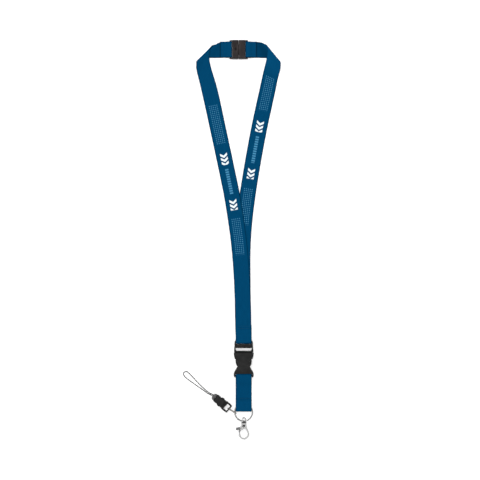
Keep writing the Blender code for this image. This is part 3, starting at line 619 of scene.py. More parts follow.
def smooth_route(points, counts, closed=False):
    """Centripetal Catmull-Rom curve, with counts[i] steps in span i."""
    pts = [Vector(p) for p in points]
    total = len(pts)
    out = []
    for i in range(total if closed else total - 1):
        if closed:
            p0, p1, p2, p3 = (pts[(i + k) % total] for k in (-1, 0, 1, 2))
        else:
            p1, p2 = pts[i], pts[i + 1]
            p0 = pts[i - 1] if i > 0 else p1 * 2 - p2
            p3 = pts[i + 2] if i + 2 < total else p2 * 2 - p1
        t0 = 0.0
        t1 = t0 + max((p1 - p0).length, 1e-6) ** 0.5
        t2 = t1 + max((p2 - p1).length, 1e-6) ** 0.5
        t3 = t2 + max((p3 - p2).length, 1e-6) ** 0.5
        for k in range(counts[i]):
            t = t1 + (t2 - t1) * k / counts[i]
            a1 = p0 * ((t1 - t) / (t1 - t0)) + p1 * ((t - t0) / (t1 - t0))
            a2 = p1 * ((t2 - t) / (t2 - t1)) + p2 * ((t - t1) / (t2 - t1))
            a3 = p2 * ((t3 - t) / (t3 - t2)) + p3 * ((t - t2) / (t3 - t2))
            b1 = a1 * ((t2 - t) / (t2 - t0)) + a2 * ((t - t0) / (t2 - t0))
            b2 = a2 * ((t3 - t) / (t3 - t1)) + a3 * ((t - t1) / (t3 - t1))
            out.append(b1 * ((t2 - t) / (t2 - t1)) + b2 * ((t - t1) / (t2 - t1)))
    if not closed:
        out.append(pts[-1])
    return out


def tube(bm, centres, radius, sides=12, closed=False, flat=1.0):
    """Tube along points. flat squeezes its height along Z."""
    pts = [Vector(p) for p in centres]
    count = len(pts)
    rings = []
    for i, p in enumerate(pts):
        before = pts[i - 1] if (i > 0 or closed) else p
        after = pts[(i + 1) % count] if (i < count - 1 or closed) else p
        along = (after - before).normalized()
        side = along.cross(Vector((0, 0, 1)))
        if side.length < 1e-4:
            side = Vector((1, 0, 0))
        side.normalize()
        up = side.cross(along).normalized()
        ring = []
        for k in range(sides):
            a = 2 * math.pi * (k + 0.5) / sides
            ring.append(bm.verts.new(p + side * radius * math.cos(a) + up * radius * flat * math.sin(a)))
        rings.append(ring)
    for i in range(count if closed else count - 1):
        r0, r1 = rings[i], rings[(i + 1) % count]
        for k in range(sides):
            m = (k + 1) % sides
            bm.faces.new((r0[k], r0[m], r1[m], r1[k]))
    if not closed:
        bm.faces.new(rings[0])
        bm.faces.new(rings[-1])


# ---------------------------------------------------------------- ribbons

def edges(x, y, z, heading):
    """The two edge points of a flat ribbon crossing, edge A on its left."""
    a = math.radians(heading)
    left = Vector((-math.sin(a), math.cos(a), 0)) * HALF
    centre = Vector((x, y, z))
    return (*(centre + left), *(centre - left))


def turned(crossings):
    """Swap the two edges of every crossing."""
    return [(*s[3:], *s[:3]) for s in crossings]


def across_drop(y, z):
    """Crossing of the ribbon where it lies in line with the drop strap."""
    return (DROP_X + HALF, y, z, DROP_X - HALF, y, z)


def half_turn(across, middle, height, reach, begin=90, sense=1):
    """Crossings of a half turn round a bar, from the angle begin in degrees."""
    angles = [math.radians(begin + sense * 30 * i) for i in range(7)]
    return [across(middle + reach * math.cos(a), height + reach * math.sin(a)) for a in angles]


def neck_part(side, bar_x, tail_x):
    """Sewn tail, wrap round the clasp's bar and the start of the neck ribbon."""
    def across(x, z):
        return (x, NECK_Y + HALF, z, x, NECK_Y - HALF, z)

    reach = CLASP_BAR / 2 + GAP + RIBBON_T / 2
    z_bar = RIBBON_T + GAP + CLASP_BAR / 2
    crossings = [across(tail_x, Z2), across(tail_x - side * 2.2, Z2), across(bar_x + side * 6.9, Z2),
                 across(bar_x + side * 3.8, z_bar + reach - 0.7)]
    crossings += half_turn(across, bar_x, z_bar, reach, sense=side)
    crossings.append(across(bar_x + side * 6.0, Z1))
    return crossings


def corner(a_in, b_in, a_out, b_out, rise=3.0, turns=8):
    """Soft fold where the ribbon turns over towards its strand."""
    a_in, b_in, a_out, b_out = (Vector(p) for p in (a_in, b_in, a_out, b_out))
    along = ((b_in - a_in) + (b_out - a_out)).normalized()
    outward = Vector((along.y, -along.x))
    if outward.y < 0:
        outward = -outward
    radius = rise / 2
    inner_bulge = 0.35            # the fold is pressed flatter at its inner end
    crossings = []
    for i in range(turns + 1):
        f = i / turns
        turn = math.pi * (f - 0.5)
        out = outward * radius * math.cos(turn)
        z = Z1 + radius * (1 + math.sin(turn))
        a, b = a_in.lerp(a_out, f) + out * inner_bulge, b_in.lerp(b_out, f) + out
        crossings.append((a.x, a.y, z, b.x, b.y, z))
    return crossings


# the ribbon's section: share of the half width, and share of the half thickness
EDGE_SECTION = [(-1.0, 0.0), (-0.988, 0.62), (-0.962, 0.98), (-0.935, 0.95), (-0.915, 0.74),
                (-0.89, 0.80), (-0.7, 0.86), (-0.35, 0.88)]
SECTION = EDGE_SECTION + [(0.0, 0.88)] + [(-u, h) for u, h in reversed(EDGE_SECTION)]


class Strip:
    """A ribbon's mesh through pairs of edge points, with its length measured along the middle."""

    def __init__(self, name, crossings, printed_side=1, closed=False, calm=()):
        self.name, self.closed, self.printed_side = name, closed, printed_side
        mids = [(Vector(s[:3]) + Vector(s[3:])) / 2 for s in crossings]
        ends = mids[1:] + mids[:1] if closed else mids[1:]
        counts = [max(1, math.ceil((b - a).length / ROW_SPACING)) for a, b in zip(mids, ends)]
        self.a = smooth_route([s[:3] for s in crossings], counts, closed)
        self.b = smooth_route([s[3:] for s in crossings], counts, closed)
        for first, last, rounds in calm:
            self.relax(sum(counts[:first]), sum(counts[:last]), rounds)
        self.middle = [(a + b) / 2 for a, b in zip(self.a, self.b)]
        self.at = [0.0]
        for p, q in zip(self.middle, self.middle[1:]):
            self.at.append(self.at[-1] + (q - p).length)
        loop = (self.middle[0] - self.middle[-1]).length if closed else 0.0
        self.length = self.at[-1] + loop

    def relax(self, first, last, rounds):
        """Even out the rows between two crossings, ends held."""
        for edge in (self.a, self.b):
            for _ in range(rounds):
                old = [p.copy() for p in edge]
                for i in range(first + 1, last):
                    edge[i] = old[i] * 0.5 + (old[i - 1] + old[i + 1]) * 0.25

    def distance(self, y):
        """Length of ribbon to where the strand passes y, beyond its turned over corner."""
        started = False
        for i, p in enumerate(self.middle):
            started = started or abs(p.y - STRAND_Y) < 2.0
            if started and p.y <= y:
                return self.at[i]
        return self.at[-1]

    def beyond_clasp(self, reach):
        """Length of ribbon to where it has left the clasp and lies reach from the middle of the neck."""
        first = min(range(len(self.middle) // 3), key=lambda i: abs(self.middle[i].x))
        return next(self.at[i] for i in range(first, len(self.at)) if abs(self.middle[i].x) >= reach)

    def build(self, mat):
        count, half_t = len(self.a), RIBBON_T / 2
        ring = [(u, h) for u, h in SECTION] + [(u, -h) for u, h in reversed(SECTION[1:-1])]
        top = len(SECTION) - 1
        bm = bmesh.new()
        uv = bm.loops.layers.uv.new("strip")
        rows = []
        for i in range(count):
            if self.closed:
                lo, hi = i - 1, (i + 1) % count
            else:
                lo, hi = max(i - 1, 0), min(i + 1, count - 1)
            a, b = self.a[i], self.b[i]
            along = (self.a[hi] - self.a[lo] + self.b[hi] - self.b[lo]).normalized()
            normal = (b - a).cross(along).normalized() * self.printed_side
            row = []
            for u, h in ring:
                p = a.lerp(b, (u + 1) / 2) + normal * half_t * h
                row.append(bm.verts.new((p.x, p.y, max(p.z, 0.02))))
            rows.append(row)
        total = len(ring)
        for i in range(count if self.closed else count - 1):
            r0, r1 = rows[i], rows[(i + 1) % count]
            v0, v1 = self.at[i], self.at[i + 1] if i + 1 < count else self.length
            for k in range(total):
                m = (k + 1) % total
                face = bm.faces.new((r0[k], r0[m], r1[m], r1[k]))
                shift = 0.0 if k < top else UNDERSIDE
                places = ((ring[k][0], v0), (ring[m][0], v0), (ring[m][0], v1), (ring[k][0], v1))
                for loop, (u, v) in zip(face.loops, places):
                    loop[uv].uv = (u * HALF + shift, v)
        if not self.closed:
            bm.faces.new(rows[0])
            bm.faces.new(rows[-1])
        return object_from(self.name, bm, mat, 60)


def left_ribbon():
    bar_x = CLASP_X - GAP / 2 - CLASP_BLOCK - CLASP_SLOT - CLASP_BAR / 2
    crossings = neck_part(-1, bar_x, -23.4)
    crossings += [(-21.0, 248.2, Z1, -30.0, 228.3, Z1), (-25.0, 247.3, Z1, -40.5, 228.0, Z1)]
    crossings += corner((-28.6, 245.4), (-50.2, 225.9), (-34.4, 242.2), (-53.0, 219.2))
    fold_end = len(crossings)
    crossings += [(-36.3, 236.2, 2.9, -53.2, 216.2, 2.7), (-36.9, 229.0, 2.2, -52.7, 213.0, 1.7),
                  (-35.8, 221.5, 1.4, -51.8, 208.8, 1.0), (-33.5, 213.0, 0.9, -50.6, 204.0, 0.6)]
    strand = [(-36.9, 190.0, Z1, 282.4), (-25.4, 137.8, Z1, 282.4), (-15.6, 92.0, Z1, 281.8),
              (-11.2, 71.0, Z1 + 0.6, 281.5), (-8.6, 58.0, Z2, 281.2), (-4.3, 32.0, Z2, 279.5),
              (-0.6, 6.0, Z2, 277.0), (2.0, -18.0, Z2, 275.0), (4.0, -45.0, Z2, 274.0),
              (5.2, -72.0, Z2, 272.0), (5.8, -88.0, Z2, 270.5), (5.9, -98.0, Z3 - 0.1, 270.0),
              (6.0, SEAM_Y + 3.5, Z3, 270.0), (6.1, SEAM_Y - 3.5, Z3, 270.0)]
    crossings += [edges(*place) for place in strand]
    strand_end = len(crossings) - 1
    reach = BAR_R + GAP + RIBBON_T / 2
    crossings.append(across_drop(BAR_Y + 6.5, BAR_Z + reach - 0.5))
    crossings += half_turn(across_drop, BAR_Y, BAR_Z, reach)
    crossings += [across_drop(BAR_Y + 6.5, Z1), across_drop(SEAM_Y + 2.6, Z1)]
    return Strip("neck_ribbon_left", crossings, calm=[(fold_end, strand_end, 12)])


def right_ribbon():
    bar_x = CLASP_X + GAP / 2 + CLASP_BLOCK + CLASP_SLOT + CLASP_BAR / 2
    crossings = neck_part(1, bar_x, 23.3)
    crossings += [(25.5, 248.3, Z1, 32.0, 228.3, Z1), (29.5, 247.6, Z1, 41.5, 228.0, Z1)]
    crossings += corner((32.8, 246.0), (50.2, 225.2), (35.9, 242.6), (52.8, 218.8))
    fold_end = len(crossings)
    crossings += [(36.6, 236.6, 2.9, 52.8, 215.4, 2.7), (35.8, 229.2, 2.2, 52.3, 212.2, 1.7),
                  (34.1, 221.8, 1.4, 51.1, 208.0, 1.0), (32.0, 214.0, 0.9, 49.8, 203.6, 0.6)]
    strand = [(36.9, 190.0, Z1, 258.5), (25.6, 137.8, Z1, 258.5), (15.5, 82.0, Z1, 259.2),
              (10.3, 47.3, Z1, 261.5), (6.9, 17.1, Z1, 264.5), (5.2, -13.0, Z1, 268.0),
              (5.2, -50.0, Z1, 270.0), (5.6, -96.0, Z1, 270.0), (5.9, SEAM_Y + 5.5, Z2, 270.0),
              (6.0, SEAM_Y + 0.3, Z2, 270.0)]
    crossings += turned([edges(*place) for place in strand])
    return Strip("neck_ribbon_right", crossings, printed_side=-1, calm=[(fold_end, len(crossings) - 3, 12)])


def drop_ribbon():
    """A belt of ribbon round the buckle's bar and the split ring."""
    crossings = half_turn(across_drop, FEMALE_BAR_Y, BAR_Z, BAR_R + GAP + RIBBON_T / 2, begin=-90)
    pouch_top = RING_Z + RING_WIRE + GAP + RIBBON_T / 2 + 0.1
    radius, height = (pouch_top - Z1) / 2, (pouch_top + Z1) / 2
    front = [(-177.0, 3.9), (-184.0, Z2 + 0.25), (-190.0, Z2), (STITCH_Y + 1.0, Z2 + 0.1),
             (STITCH_Y - 2.0, pouch_top - 0.2), (STITCH_Y - 4.0, pouch_top), (POUCH_Y + 4.0, pouch_top)]
    crossings += [across_drop(y, z) for y, z in front]
    crossings += half_turn(across_drop, POUCH_Y + radius + RIBBON_T / 2, height, radius)
    crossings += [across_drop(y, Z1) for y in (POUCH_Y + 6.0, -200.0, -186.0)]
    return Strip("drop_ribbon", crossings, closed=True)


# kind of print and where it begins and ends, as Y on the strand
LEFT_PRINT = [("dots", 170.4, 120.2), ("chevron", 112.6, 94.8), ("dash", 90.0, 57.3),
              ("chevron", 53.6, 37.5), ("dots", 27.2, -18.7)]
# painted shade and painted light on the neck ribbons beside the clasp: (colour, share, distance from the middle of the
# neck, length)
LEFT_PAINTED_SHADE = [(TEAL_DARK, 0.35, 23.0, 10.0)]
RIGHT_PAINTED_LIGHT_AND_SHADE = [(TEAL_DARK, 0.6, 23.0, 13.0), (TEAL_LIGHT, 0.8, 43.0, 24.0)]
RIGHT_PRINT = [("dots", 209.4, 162.9), ("chevron", 152.9, 135.3), ("dash", 130.2, 97.5),
               ("chevron", 93.1, 76.9), ("dots", 64.9, 19.6)]


def printed(strip, name, prints, painted_shading):
    """Printed ribbon. painted_shading holds bands of painted shade and painted light: (colour, share, distance from
    the middle of the neck, length).
    """
    bands = [(kind, strip.distance(start), strip.distance(end)) for kind, start, end in prints]
    shades = []
    for colour, share, reach, run in painted_shading:
        start = strip.beyond_clasp(reach)
        shades.append((colour, share, start, start + run))
    return woven_ribbon(name, bands, shades)


def make_ribbons():
    """The three ribbons, as (node, piece, strip, pieces that it rests on)."""
    left, right, drop = left_ribbon(), right_ribbon(), drop_ribbon()
    left_look = printed(left, "ribbon_left", LEFT_PRINT, LEFT_PAINTED_SHADE)
    right_look = printed(right, "ribbon_right", RIGHT_PRINT, RIGHT_PAINTED_LIGHT_AND_SHADE)
    plain_look = woven_ribbon("ribbon_plain", shaded_sealed_end=False)
    pieces = []
    for strip, node, mat, rests in (
            (left, "left_strap", left_look, ["clasp_socket", "buckle_top_frame"]),
            (right, "right_strap", right_look, ["clasp_plug"]),
            (drop, "drop_strap", plain_look, ["buckle_bottom_shell", "split_ring_wire"])):
        piece = settle(strip.build(mat), body_of(node), "ribbon", node)
        pieces.append((node, piece, strip, rests))
    return pieces


# ---------------------------------------------------------------- cord

def mini_place():
    across = MINI_DIR.cross(Vector((0, 0, 1)))
    turn = Matrix((across, MINI_DIR, Vector((0, 0, 1)))).transposed().to_4x4()
    return Matrix.Translation((MINI_BAR[0], MINI_BAR[1], 0)) @ turn


def cord_route():
    """The phone loop, out of one side of the cap and back into the other."""
    place = mini_place()
    out = [place @ Vector((0.72, y, MINI_Z)) for y in (24.5, 26.5)]
    back = [place @ Vector((-0.72, y, MINI_Z)) for y in (26.5, 24.5)]
    low = CORD_R
    free = [(-38.0, -191.6, 1.5), (-42.5, -187.9, 0.9), (-47.4, -183.4, low), (-52.2, -178.4, low),
            (-57.2, -173.0, low), (-61.2, -168.8, low), (-64.0, -166.3, low), (-67.0, -165.9, low),
            (-69.2, -168.2, low), (-68.2, -171.2, low), (-64.8, -174.6, low), (-60.2, -178.0, low),
            (-54.6, -182.0, low), (-49.0, -185.9, low), (-43.6, -189.6, 0.9), (-38.8, -192.9, 1.5)]
    return out + [Vector(p) for p in free] + back


def make_cord(mat):
    """Three yarns twisted round the phone loop's route. Gives the piece, its path and its length."""
    route = cord_route()
    counts = [max(2, math.ceil((b - a).length / 0.35)) for a, b in zip(route, route[1:])]
    path = [Vector((p.x, p.y, max(p.z, CORD_R))) for p in smooth_route(route, counts)]
    at = [0.0]
    for p, q in zip(path, path[1:]):
        at.append(at[-1] + (q - p).length)
    pitch, plies, sides = 3.2, 3, 8
    offset, ply_r = 0.235, 0.32
    bm = bmesh.new()
    uv = bm.loops.layers.uv.new("strip")
    for ply in range(plies):
        rings = []
        for i, p in enumerate(path):
            along = (path[min(i + 1, len(path) - 1)] - path[max(i - 1, 0)]).normalized()
            side = along.cross(Vector((0, 0, 1))).normalized()
            up = side.cross(along)
            a = 2 * math.pi * (at[i] / pitch + ply / plies)
            out = side * math.cos(a) + up * math.sin(a)
            twist = along.cross(out)
            centre = p + out * offset
            ring = []
            for k in range(sides):
                b = 2 * math.pi * k / sides
                ring.append(bm.verts.new(centre + out * ply_r * math.cos(b) + twist * ply_r * math.sin(b)))
            rings.append(ring)
        for i in range(len(rings) - 1):
            for k in range(sides):
                m = (k + 1) % sides
                face = bm.faces.new((rings[i][k], rings[i][m], rings[i + 1][m], rings[i + 1][k]))
                places = ((k, at[i]), (k + 1, at[i]), (k + 1, at[i + 1]), (k, at[i + 1]))
                for loop, (u, v) in zip(face.loops, places):
                    loop[uv].uv = (u / sides, v)
        bm.faces.new(rings[0])
        bm.faces.new(rings[-1])
    piece = settle(object_from("twisted_cord", bm, mat, 80), body_of("phone_cord"), "cord", "phone_cord")
    return piece, [p * MM for p in path], at[-1] * MM


# ---------------------------------------------------------------- moulded and cast pieces

def drawn(draw, place=None):
    bm = bmesh.new()
    draw(bm)
    if place is not None:
        bmesh.ops.transform(bm, matrix=place, verts=bm.verts)
    return bm


def solid(name, node, slot, mat, base, steps=(), edge=0.3, segments=3, angle=32, place=None):
    """A rigid piece from drawing functions: a base, then (operation, drawing) steps, with rounded edges."""
    obj = object_from(name, drawn(base, place), mat)
    tools = []
    for index, (operation, drawing) in enumerate(steps):
        tool = object_from(f"{name}_{index}", drawn(drawing, place), mat)
        change = obj.modifiers.new("Shape", "BOOLEAN")
        change.operation = operation
        change.object = tool
        change.use_self = True
        tools.append(tool)
    rounding = obj.modifiers.new("Edges", "BEVEL")
    rounding.width = edge * MM
    rounding.segments = segments
    rounding.limit_method = "ANGLE"
    rounding.angle_limit = math.radians(angle)
    graph = bpy.context.evaluated_depsgraph_get()
    mesh = bpy.data.meshes.new_from_object(obj.evaluated_get(graph))
    obj.modifiers.clear()
    obj.data = mesh
    for tool in tools:
        bpy.data.objects.remove(tool, do_unlink=True)
    mesh.shade_smooth()
    mesh.set_sharp_from_angle(angle=math.radians(50))
    return settle(obj, body_of(node), slot, node)


def inset(outline, amount):
    """Shrink an outline towards the middle of its box, by the same amount on every side."""
    xs, ys = [x for x, y in outline], [y for x, y in outline]
    cx, cy = (min(xs) + max(xs)) / 2, (min(ys) + max(ys)) / 2
    kx, ky = 1 - 2 * amount / (max(xs) - min(xs)), 1 - 2 * amount / (max(ys) - min(ys))
    return [(cx + (x - cx) * kx, cy + (y - cy) * ky) for x, y in outline]


def layered(bm, outline, levels):
    """Body through (inset, z) levels of one outline."""
    rings = []
    for amount, z in levels:
        rings.append([bm.verts.new((x, y, z)) for x, y in inset(outline, amount)])
    bm.faces.new(rings[0])
    bm.faces.new(rings[-1])
    for low, high in zip(rings, rings[1:]):
        for k in range(len(low)):
            m = (k + 1) % len(low)
            bm.faces.new((low[k], low[m], high[m], high[k]))


def side_curve(points, steps=4):
    """One side of an outline, smoothly curved."""
    curve = smooth_route([(x, y, 0) for x, y in points], [steps] * (len(points) - 1))
    return [(p.x, p.y) for p in curve]


CUT, JOIN = "DIFFERENCE", "UNION"
THROUGH = (-1, 9)                 # heights of a cut that passes through any piece


def brick(*bounds):
    """Drawing of a block."""
    return lambda bm: block(bm, *bounds)


def plate(outline, low, high):
    """Drawing of an outline raised from low to high."""
    return lambda bm: prism(bm, outline, low, high)


def rod(*shape):
    """Drawing of a cylinder."""
    return lambda bm: cylinder(bm, *shape)


def stack(outline, levels):
    """Drawing of a body through (inset, z) levels of one outline."""
    return lambda bm: layered(bm, outline, levels)


def on_hook_axis(top, low, radius, sides):
    """Drawing of a round part on the hook's long axis."""
    return rod((HOOK_X, top, HOOK_Z), (HOOK_X, low, HOOK_Z), radius, sides)


def slope(profile):
    """Drawing of a (y, z) profile extruded across the main buckle."""
    def wedge(bm):
        sides = [[bm.verts.new((DROP_X + x, y, z)) for y, z in profile] for x in (-14.0, 14.0)]
        for side in sides:
            bm.faces.new(side)
        for k in range(len(profile)):
            m = (k + 1) % len(profile)
            bm.faces.new((sides[0][k], sides[0][m], sides[1][m], sides[1][k]))

    return wedge


def make_clasp_half(name, node, side, mat):
    """One half of the breakaway clasp. side -1 is the socket, +1 the plug."""
    y0, y1 = NECK_Y - CLASP_H / 2, NECK_Y + CLASP_H / 2
    face = CLASP_X + side * GAP / 2
    rear = face + side * CLASP_BLOCK
    bar_in = rear + side * CLASP_SLOT
    bar_out = bar_in + side * CLASP_BAR
    bar_z0 = RIBBON_T + GAP
    rail = 1.3
    x_low, x_high = sorted((face, rear + side * CLASP_LIP))

    def rails(bm):
        for ya, yb in ((y0 + 0.05, y0 + rail), (y1 - rail, y1 - 0.05)):
            block(bm, *sorted((rear - side * 1.0, bar_out)), ya, yb, bar_z0 - 0.4, bar_z0 + CLASP_BAR + 0.6)

    def grooves(bm):
        for share in (0.62, 0.70, 0.78):
            x = face + side * CLASP_BLOCK * share
            block(bm, x - 0.14, x + 0.14, y0 + 2.2, y1 - 2.2, CLASP_T - 0.28, CLASP_T + 1)

    middle, height = (bar_in + bar_out) / 2, bar_z0 + CLASP_BAR / 2
    half, depth, low, high = 6.4, 5.4, 1.7, 3.5
    beam = rod((middle, y0 + 0.5, height), (middle, y1 - 0.5, height), CLASP_BAR / 2, 24)
    steps = [(JOIN, rails), (JOIN, beam), (CUT, grooves)]
    if side < 0:
        window = rounded(face - 4.6, face - 2.2, NECK_Y - 2.8, NECK_Y + 2.8, 1.1)
        steps += [(CUT, brick(face - depth - 0.6, face + 1, NECK_Y - half - GAP, NECK_Y + half + GAP,
                              low - GAP, high + GAP)),
                  (CUT, plate(window, 3.0, 6.0))]
    else:
        tongue = [(1.0, -half), (1.0, half), (1.2 - depth, half), (-depth, half - 1.2), (-depth, 1.6),
                  (-1.6, 1.2), (-1.6, -1.2), (-depth, -1.6), (-depth, 1.2 - half), (1.2 - depth, -half)]
        steps.append((JOIN, plate(moved(tongue, face, NECK_Y), low, high)))
    levels = [(0.3, 0.0), (0.0, 0.4), (0.0, CLASP_T - 0.35), (0.2, CLASP_T)]
    base = stack(rounded(x_low, x_high, y0, y1, 0.7, 3), levels)
    solid(name, node, "clasp_plastic", mat, base, steps, 0.16, 2)


def make_buckle_top(mat):
    """Upper half: webbing bar, ridged grip bar, window and the plug's guide."""
    half = side_curve([(9.6, MALE_TOP_Y), (10.8, MALE_TOP_Y - 0.6), (11.4, MALE_TOP_Y - 2.6), (11.6, -133.5),
                       (12.0, BASE_Y), (12.0, COLLAR_Y + GAP)])
    slot = moved(rounded(-10.35, 10.35, GRIP_TOP_Y, -120.0, 0.5, 2), DROP_X)
    window = mirrored([(10.3, -135.9), (10.3, -137.4), (9.4, -138.9), (8.4, -139.5)], DROP_X)

    def guide(bm):
        prism(bm, mirrored([(2.4, COLLAR_Y + 1.0), (2.4, -155.0), (1.4, -157.5)], DROP_X), 2.6, 5.4)
        for side in (-1, 1):
            block(bm, *sorted((DROP_X + side * 5.9, DROP_X + side * 7.9)), ARM_ROOT_Y + 0.6, COLLAR_Y + 1.0,
                  2.6, 5.4)

    def grooves(bm):
        for index in range(6):
            x = DROP_X + (index - 2.5) * 3.35
            cylinder(bm, (x, -130.5, 7.0), (x, -136.6, 7.0), 1.15, 16)

    steps = [(CUT, plate(slot, *THROUGH)),
             (JOIN, rod((DROP_X - 10.7, BAR_Y, BAR_Z), (DROP_X + 10.7, BAR_Y, BAR_Z), BAR_R)),
             (CUT, plate(window, *THROUGH)), (CUT, grooves), (JOIN, guide)]
    base = stack(mirrored(half, DROP_X), [(0.3, 0.8), (0.0, 1.2), (0.0, 6.1), (0.4, 6.6)])
    solid("buckle_top_frame", "buckle_male", "buckle_plastic", mat, base, steps, 0.22, 2)


def make_buckle_arm(name, node, side, mat):
    """Flexing prong with a ribbed finger pad."""
    root = ARM_ROOT_Y + 0.3
    outline = [(5.95, root), (7.85, root), (8.0, WINDOW_TOP_Y + 1.2), (8.3, WINDOW_TOP_Y - 0.4),
               (9.6, WINDOW_TOP_Y - 0.45), (10.1, -151.2), (10.15, -152.8), (9.7, -155.6), (8.9, -157.6),
               (7.9, -158.9), (6.9, -159.1), (6.2, -158.0), (6.1, -150.5)]

    def ribs(bm):
        for index in range(5):
            y = -151.4 - index * 1.15
            x = DROP_X + side * (10.0 - 0.055 * index * index)
            cylinder(bm, (x, y, 2.7), (x, y, 5.3), 0.3, 10)

    base = plate([(DROP_X + side * x, y) for x, y in outline], 2.3, 5.7)
    solid(name, node, "buckle_plastic", mat, base, [(JOIN, ribs)], 0.3, 3, 40)


def make_buckle_bottom(mat):
    """Lower half: a hollow shell with side windows, a raised front panel and the strap's bar."""
    half = side_curve([(11.4, COLLAR_Y), (12.2, COLLAR_Y - 0.7), (12.2, -145.0), (11.5, -148.2),
                       (10.8, WINDOW_TOP_Y), (8.9, -151.0), (7.6, -154.0), (7.4, -157.2),
                       (8.2, WINDOW_END_Y - 0.2), (9.6, -162.3), (11.4, -165.2), (12.3, -168.0),
                       (12.4, -170.4), (11.8, -172.2), (10.6, FEMALE_END_Y)], 3)
    panel = side_curve([(9.1, COLLAR_Y - 0.5), (9.0, -146.0), (7.9, -149.6), (6.3, -153.0), (6.1, -156.4),
                        (6.9, -160.0), (8.6, -163.0)], 3)
    slot = moved(rounded(-10.4, 10.4, -180.0, FOOT_EDGE_Y, 0.5, 2), DROP_X)
    top, low, high = BUCKLE_T, 1.7, 6.3

    def pocket(bm):
        block(bm, DROP_X - 9.6, DROP_X + 9.6, WINDOW_TOP_Y + 1.0, COLLAR_Y + 1, low, high)
        block(bm, DROP_X - 13.0, DROP_X + 13.0, WINDOW_END_Y, WINDOW_TOP_Y, low, high)

    steps = [(JOIN, stack(mirrored(panel, DROP_X), [(0.0, top - 0.9), (0.0, top - 0.15), (0.4, top + 0.2)])),
             (CUT, pocket),
             (CUT, brick(DROP_X - 8.3, DROP_X + 8.3, WINDOW_TOP_Y - 1.0, WINDOW_TOP_Y + 2.0, low, high)),
             (CUT, plate(slot, *THROUGH)),
             (JOIN, rod((DROP_X - 10.8, FEMALE_BAR_Y, BAR_Z), (DROP_X + 10.8, FEMALE_BAR_Y, BAR_Z), BAR_R)),
             (CUT, slope([(-166.6, top + 1), (-166.6, 5.6), (-178, 3.9), (-178, top + 1)])),
             (CUT, slope([(-163.7, top + 1), (-163.7, top + 0.1), (-167.2, 6.0), (-167.2, top + 1)]))]
    levels = [(1.2, 0.0), (0.0, 1.1), (0.0, top - 2.0), (0.7, top - 0.8), (1.9, top - 0.15)]
    base = stack(mirrored(half, DROP_X), levels)
    solid("buckle_bottom_shell", "buckle_female", "buckle_plastic", mat, base, steps, 0.2, 2, 38)


def make_ring(metal):
    """Split ring, wound nearly twice, stepping from the lower turn to the upper."""
    points = []
    lift = 0.45
    for angle in range(25, 696, 3):
        rise = min(max((angle - 340) / 40, 0.0), 1.0)
        rise = rise * rise * (3 - 2 * rise)
        a = math.radians(angle + 95)
        height = RING_Z + lift * (2 * rise - 1)
        points.append((DROP_X + RING_R * math.cos(a), RING_Y + RING_R * math.sin(a), height))
    bm = bmesh.new()
    tube(bm, points, RING_WIRE, 16, flat=0.5)
    settle(object_from("split_ring_wire", bm, metal), body_of("split_ring"), "bright_metal", "split_ring")


def make_eye(metal, steel):
    """Wire eye on a collared steel stem whose head turns in the hook's window."""
    arc_y, half = -226.3, 2.95
    foot = [(2.85, STEM_TOP_Y + 1.0, 0), (2.55, STEM_TOP_Y + 0.34, 0)]
    points = [Vector((-x, y, z)) for x, y, z in reversed(foot)]
    for i in range(25):
        a = math.radians(180 - 7.5 * i)
        points.append(Vector((half * math.cos(a), arc_y + half * math.sin(a), 0)))
    points += [Vector(p) for p in foot]
    turn = Matrix.Translation((HOOK_X, 0, HOOK_Z)) @ Matrix.Rotation(EYE_TURN, 4, "Y")
    bm = bmesh.new()
    tube(bm, points, 0.65, 14)
    bmesh.ops.transform(bm, matrix=turn, verts=bm.verts)
    settle(object_from("swivel_eye_wire", bm, metal), body_of("swivel_eye"), "bright_metal", "swivel_eye")
    # the stem takes dark steel, partly painted shade of the hook's window and the gap under the eye
    shank, head = on_hook_axis(STEM_TOP_Y - 0.4, -233.0, 1.0, 28), on_hook_axis(-232.6, -234.7, 1.6, 28)
    solid("swivel_stem", "swivel_eye", "bright_metal", steel,
          on_hook_axis(STEM_TOP_Y, STEM_TOP_Y - 0.85, 3.0, 28), [(JOIN, shank), (JOIN, head)], 0.15, 2, 50)


def hook_outline():
    """Outer and inner outline of the C shaped hook, beside its axis."""
    outer = side_curve([(3.0, -231.8), (3.2, -233.5), (4.1, -236.5), (5.3, -239.8), (6.3, -242.2)], 3)
    outer += arc(BEND_R, BEND_R, 10, -200)
    inner = arc(4.65, 5.1, -186, 196)
    inner += side_curve([(4.2, -241.6), (3.3, -239.4), (2.2, -237.7), (0.6, -237.1), (-1.6, -238.2)], 3)
    boss = side_curve([(-2.6, -239.2), (-4.4, -238.6), (-5.3, -237.0), (-4.6, -235.0), (-3.4, -233.4),
                       (-3.0, -231.8)], 3)
    return moved(outer + inner + boss, HOOK_X)


def arc(width, height, begin, sweep, steps=30):
    """Part of an ellipse round the middle of the hook's bend, in degrees."""
    turns = [math.radians(begin + sweep * i / steps) for i in range(steps + 1)]
    return [(width * math.cos(a), BEND_Y + height * math.sin(a)) for a in turns]


def pivot_hole():
    """Step that drills the gate's pivot."""
    px, py = PIVOT
    return CUT, rod((px, py, -1), (px, py, 8), 0.6, 20)


